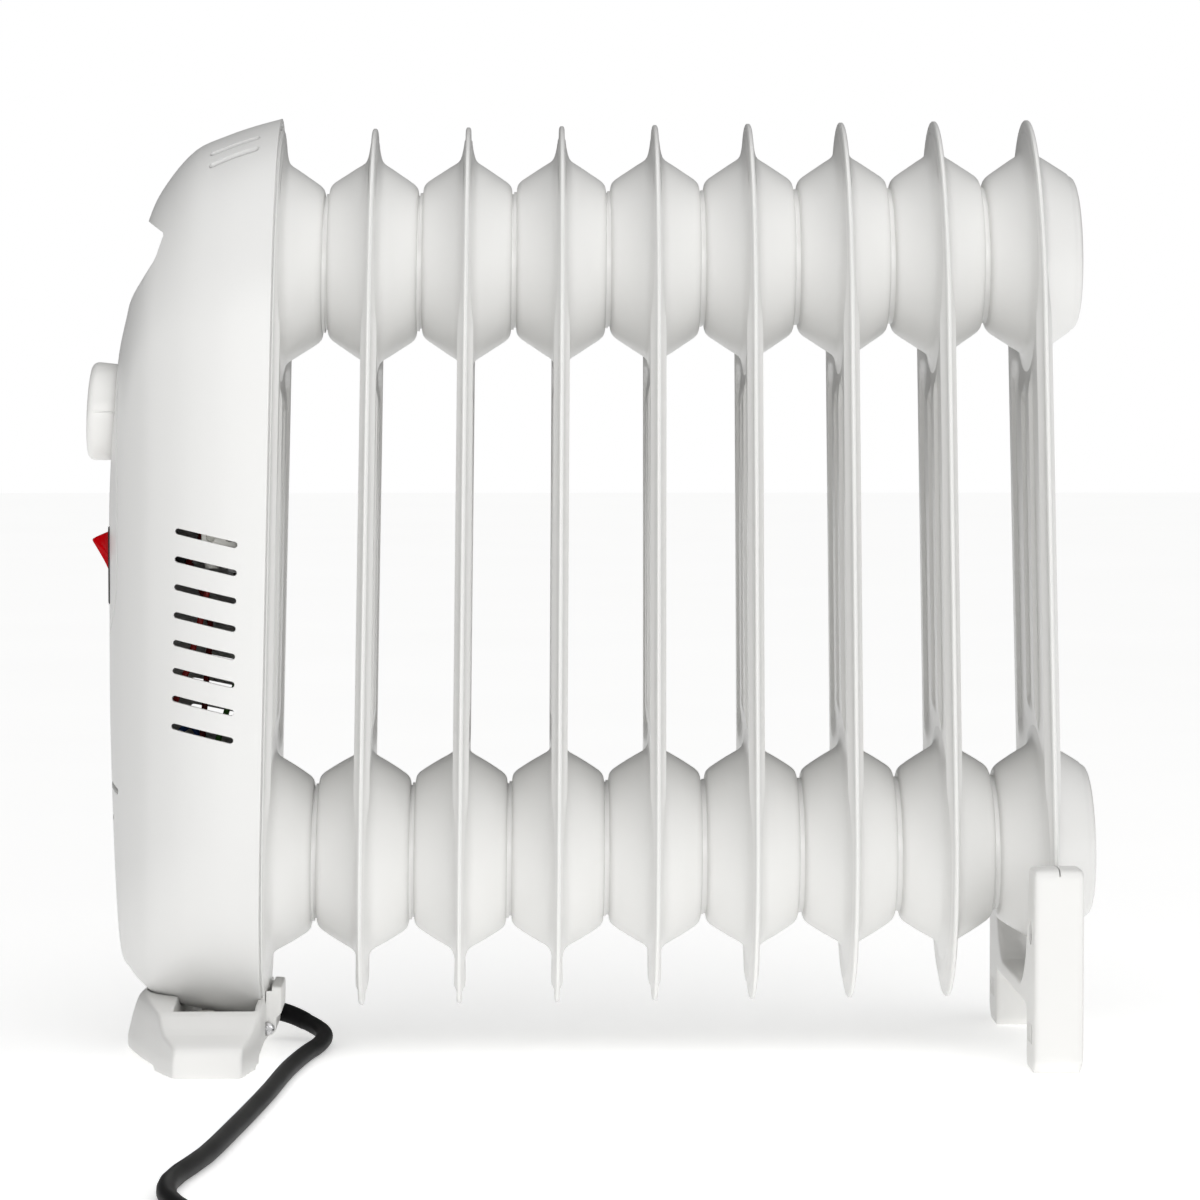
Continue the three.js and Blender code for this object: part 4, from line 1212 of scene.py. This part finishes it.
# Each wire: its material, its slot, and the points that it runs through.
WIRES = {
    "live_wire": (RED_WIRE, "red_wire", (
        (-152, 34, 114), (-150, 33, 140), (-148, 24, 165), (-152, 9, 181), (-154.5, 8, 187))),
    "switched_wire": (RED_WIRE, "red_wire", (
        (-154.5, -8, 187), (-148, -14, 200), (-143, -10, 222), (-145, -7.5, 243))),
    "cutout_wire": (RED_WIRE, "red_wire", (
        (-145, 7.5, 247), (-142, 22, 240), (-140, 24, 215), (-141, 13, 195))),
    "neutral_wire": (BLUE_WIRE, "blue_wire", (
        (-152, 37, 113.6), (-156, 38, 122), (-162, 34, 118), (-166, 24, 100), (-175.6, 9, 78.5))),
    "earth_wire": (GREEN_WIRE, "green_wire", (
        (-146, 33, 115), (-140, 38, 135), (-134, 40, 150), (-128, 34, 158))),
    "element_wire": (RED_WIRE, "red_wire", (
        (-175.6, -9, 78.5), (-168, -24, 110), (-152, -43, 150), (-142.5, -47, 186))),
    "linking_wire": (RED_WIRE, "red_wire", (
        (-139, -47, 207), (-143, -46, 240), (-149, -40, 272), (-150, -32, 296), (-143, -30, 322))),
}
INNER_LEAD = (
    (-136.2, 26, 11.4), (-138.8, 26.3, 12.1), (-141, 27.2, 14.8), (-142, 28.2, 19),
    (-142.4, 29, 24.5), (-144, 30.4, 34), (-149, 33.5, 56), (-151, 34, 80), (-150, 33, 112),
)


def make_wires():
    for node, (material, slot, points) in WIRES.items():
        wire = tube(node.replace("wire", "conductor"), smooth_path(points, 8), WIRE_RADIUS, 16)
        dress(wire, "heater", material, slot, node)
    sheath = tube("lead_sheath", smooth_path(INNER_LEAD, 8), CORD_RADIUS, 24)
    dress(sheath, "heater", CORD_RUBBER, "black_rubber", "inner_lead")


CONNECTOR_Y = -47
CONNECTOR_BORES = (-142.5, -135.5)


def make_connector():
    """Two pole screw connector: a moulded block with a barrel and a screw well per wire."""
    block = box("screw_connector", -146, -132, -54, -41, 190, 203)
    bevel(block, 0.8, 2)
    barrels = [upright("barrel", 2.6, x, CONNECTOR_Y, 187.5, 205.5) for x in CONNECTOR_BORES]
    combine(block, barrels, "UNION")
    cuts = []
    for x in CONNECTOR_BORES:
        cuts.append(upright("bore", 1.6, x, CONNECTOR_Y, 180, 210))
        for z in (193.6, 199.4):
            well = turned("well", [(-8, 0), (-8, 1.7), (-4, 1.7), (-4, 0)], 32)
            cuts.append(move(well, shifted(x, CONNECTOR_Y, z) @ Matrix.Rotation(PI / 2, 4, "Z")))
    cut(block, *cuts)
    return dress(block, "heater", IVORY_PLASTIC, "ivory_plastic", "wire_connector")


make_wires()
make_connector()

# Hidden pieces keep their shape and take a finished material.
KEPT_SHAPES = {
    "thermostat_shaft": STEEL,
    "thermostat_body": BLACK_PLASTIC,
    "oil_filler_plug": STEEL,
    "element_gasket": SEALING_RING,
    "element_flange": BRASS,
    "heating_element": DRAWN_STEEL,
    "element_terminal_1": BRASS,
    "element_terminal_2": BRASS,
    "thermal_cutout": BLACK_PLASTIC,
    "cutout_clip": DRAWN_STEEL,
    "upper_bracket": DRAWN_STEEL,
    "cord_grip": IVORY_PLASTIC,
}
for node, material in KEPT_SHAPES.items():
    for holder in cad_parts[node].material_slots:
        holder.material = material


# ------------------------------------------------------------------- floor and lights
def make_floor():
    reach = 9000
    corners = [(-reach, -reach, 0), (reach, -reach, 0), (reach, reach, 0), (-reach, reach, 0)]
    floor = new_piece("floor", corners, [(0, 1, 2, 3)])
    floor.data.materials.append(floor_paint())


def aim(light, place, target):
    light.location = Vector(place) * MM
    heading = Vector(target) * MM - light.location
    light.rotation_euler = heading.to_track_quat("-Z", "Y").to_euler()


def softbox(name, place, size, power, target=(0, 0, 180)):
    data = bpy.data.lights.new(name, "AREA")
    data.shape = "RECTANGLE"
    data.size, data.size_y = size
    data.energy = power
    aim(link(name, data), place, target)


def overhead(name, place, spread, strength):
    """Even soft light from above that reaches the whole floor."""
    data = bpy.data.lights.new(name, "SUN")
    data.angle = math.radians(spread)
    data.energy = strength
    aim(link(name, data), place, (0, 0, 0))


def make_world(seen, ambient):
    """A white backdrop, which lights the heater less than it shows."""
    world = bpy.data.worlds.new("studio")
    world.use_nodes = True
    tree = world.node_tree
    background = tree.nodes["Background"]
    background.inputs["Color"].default_value = (1, 1, 1, 1)
    rays = tree.nodes.new("ShaderNodeLightPath")
    level = tree.nodes.new("ShaderNodeMapRange")
    level.inputs["To Min"].default_value = ambient
    level.inputs["To Max"].default_value = seen
    tree.links.new(rays.outputs["Is Camera Ray"], level.inputs["Value"])
    tree.links.new(level.outputs["Result"], background.inputs["Strength"])
    bpy.context.scene.world = world


make_floor()
make_world(1.0, 0.14)
overhead("overhead", (150, -500, 1500), 70, 1.45)
softbox("front", (500, -2300, 420), (2.2, 1.2), 22)
softbox("low_fill", (-450, -1700, 90), (1.2, 0.16), 1.3, (-150, 0, 50))
bpy.context.scene.view_settings.view_transform = "Standard"
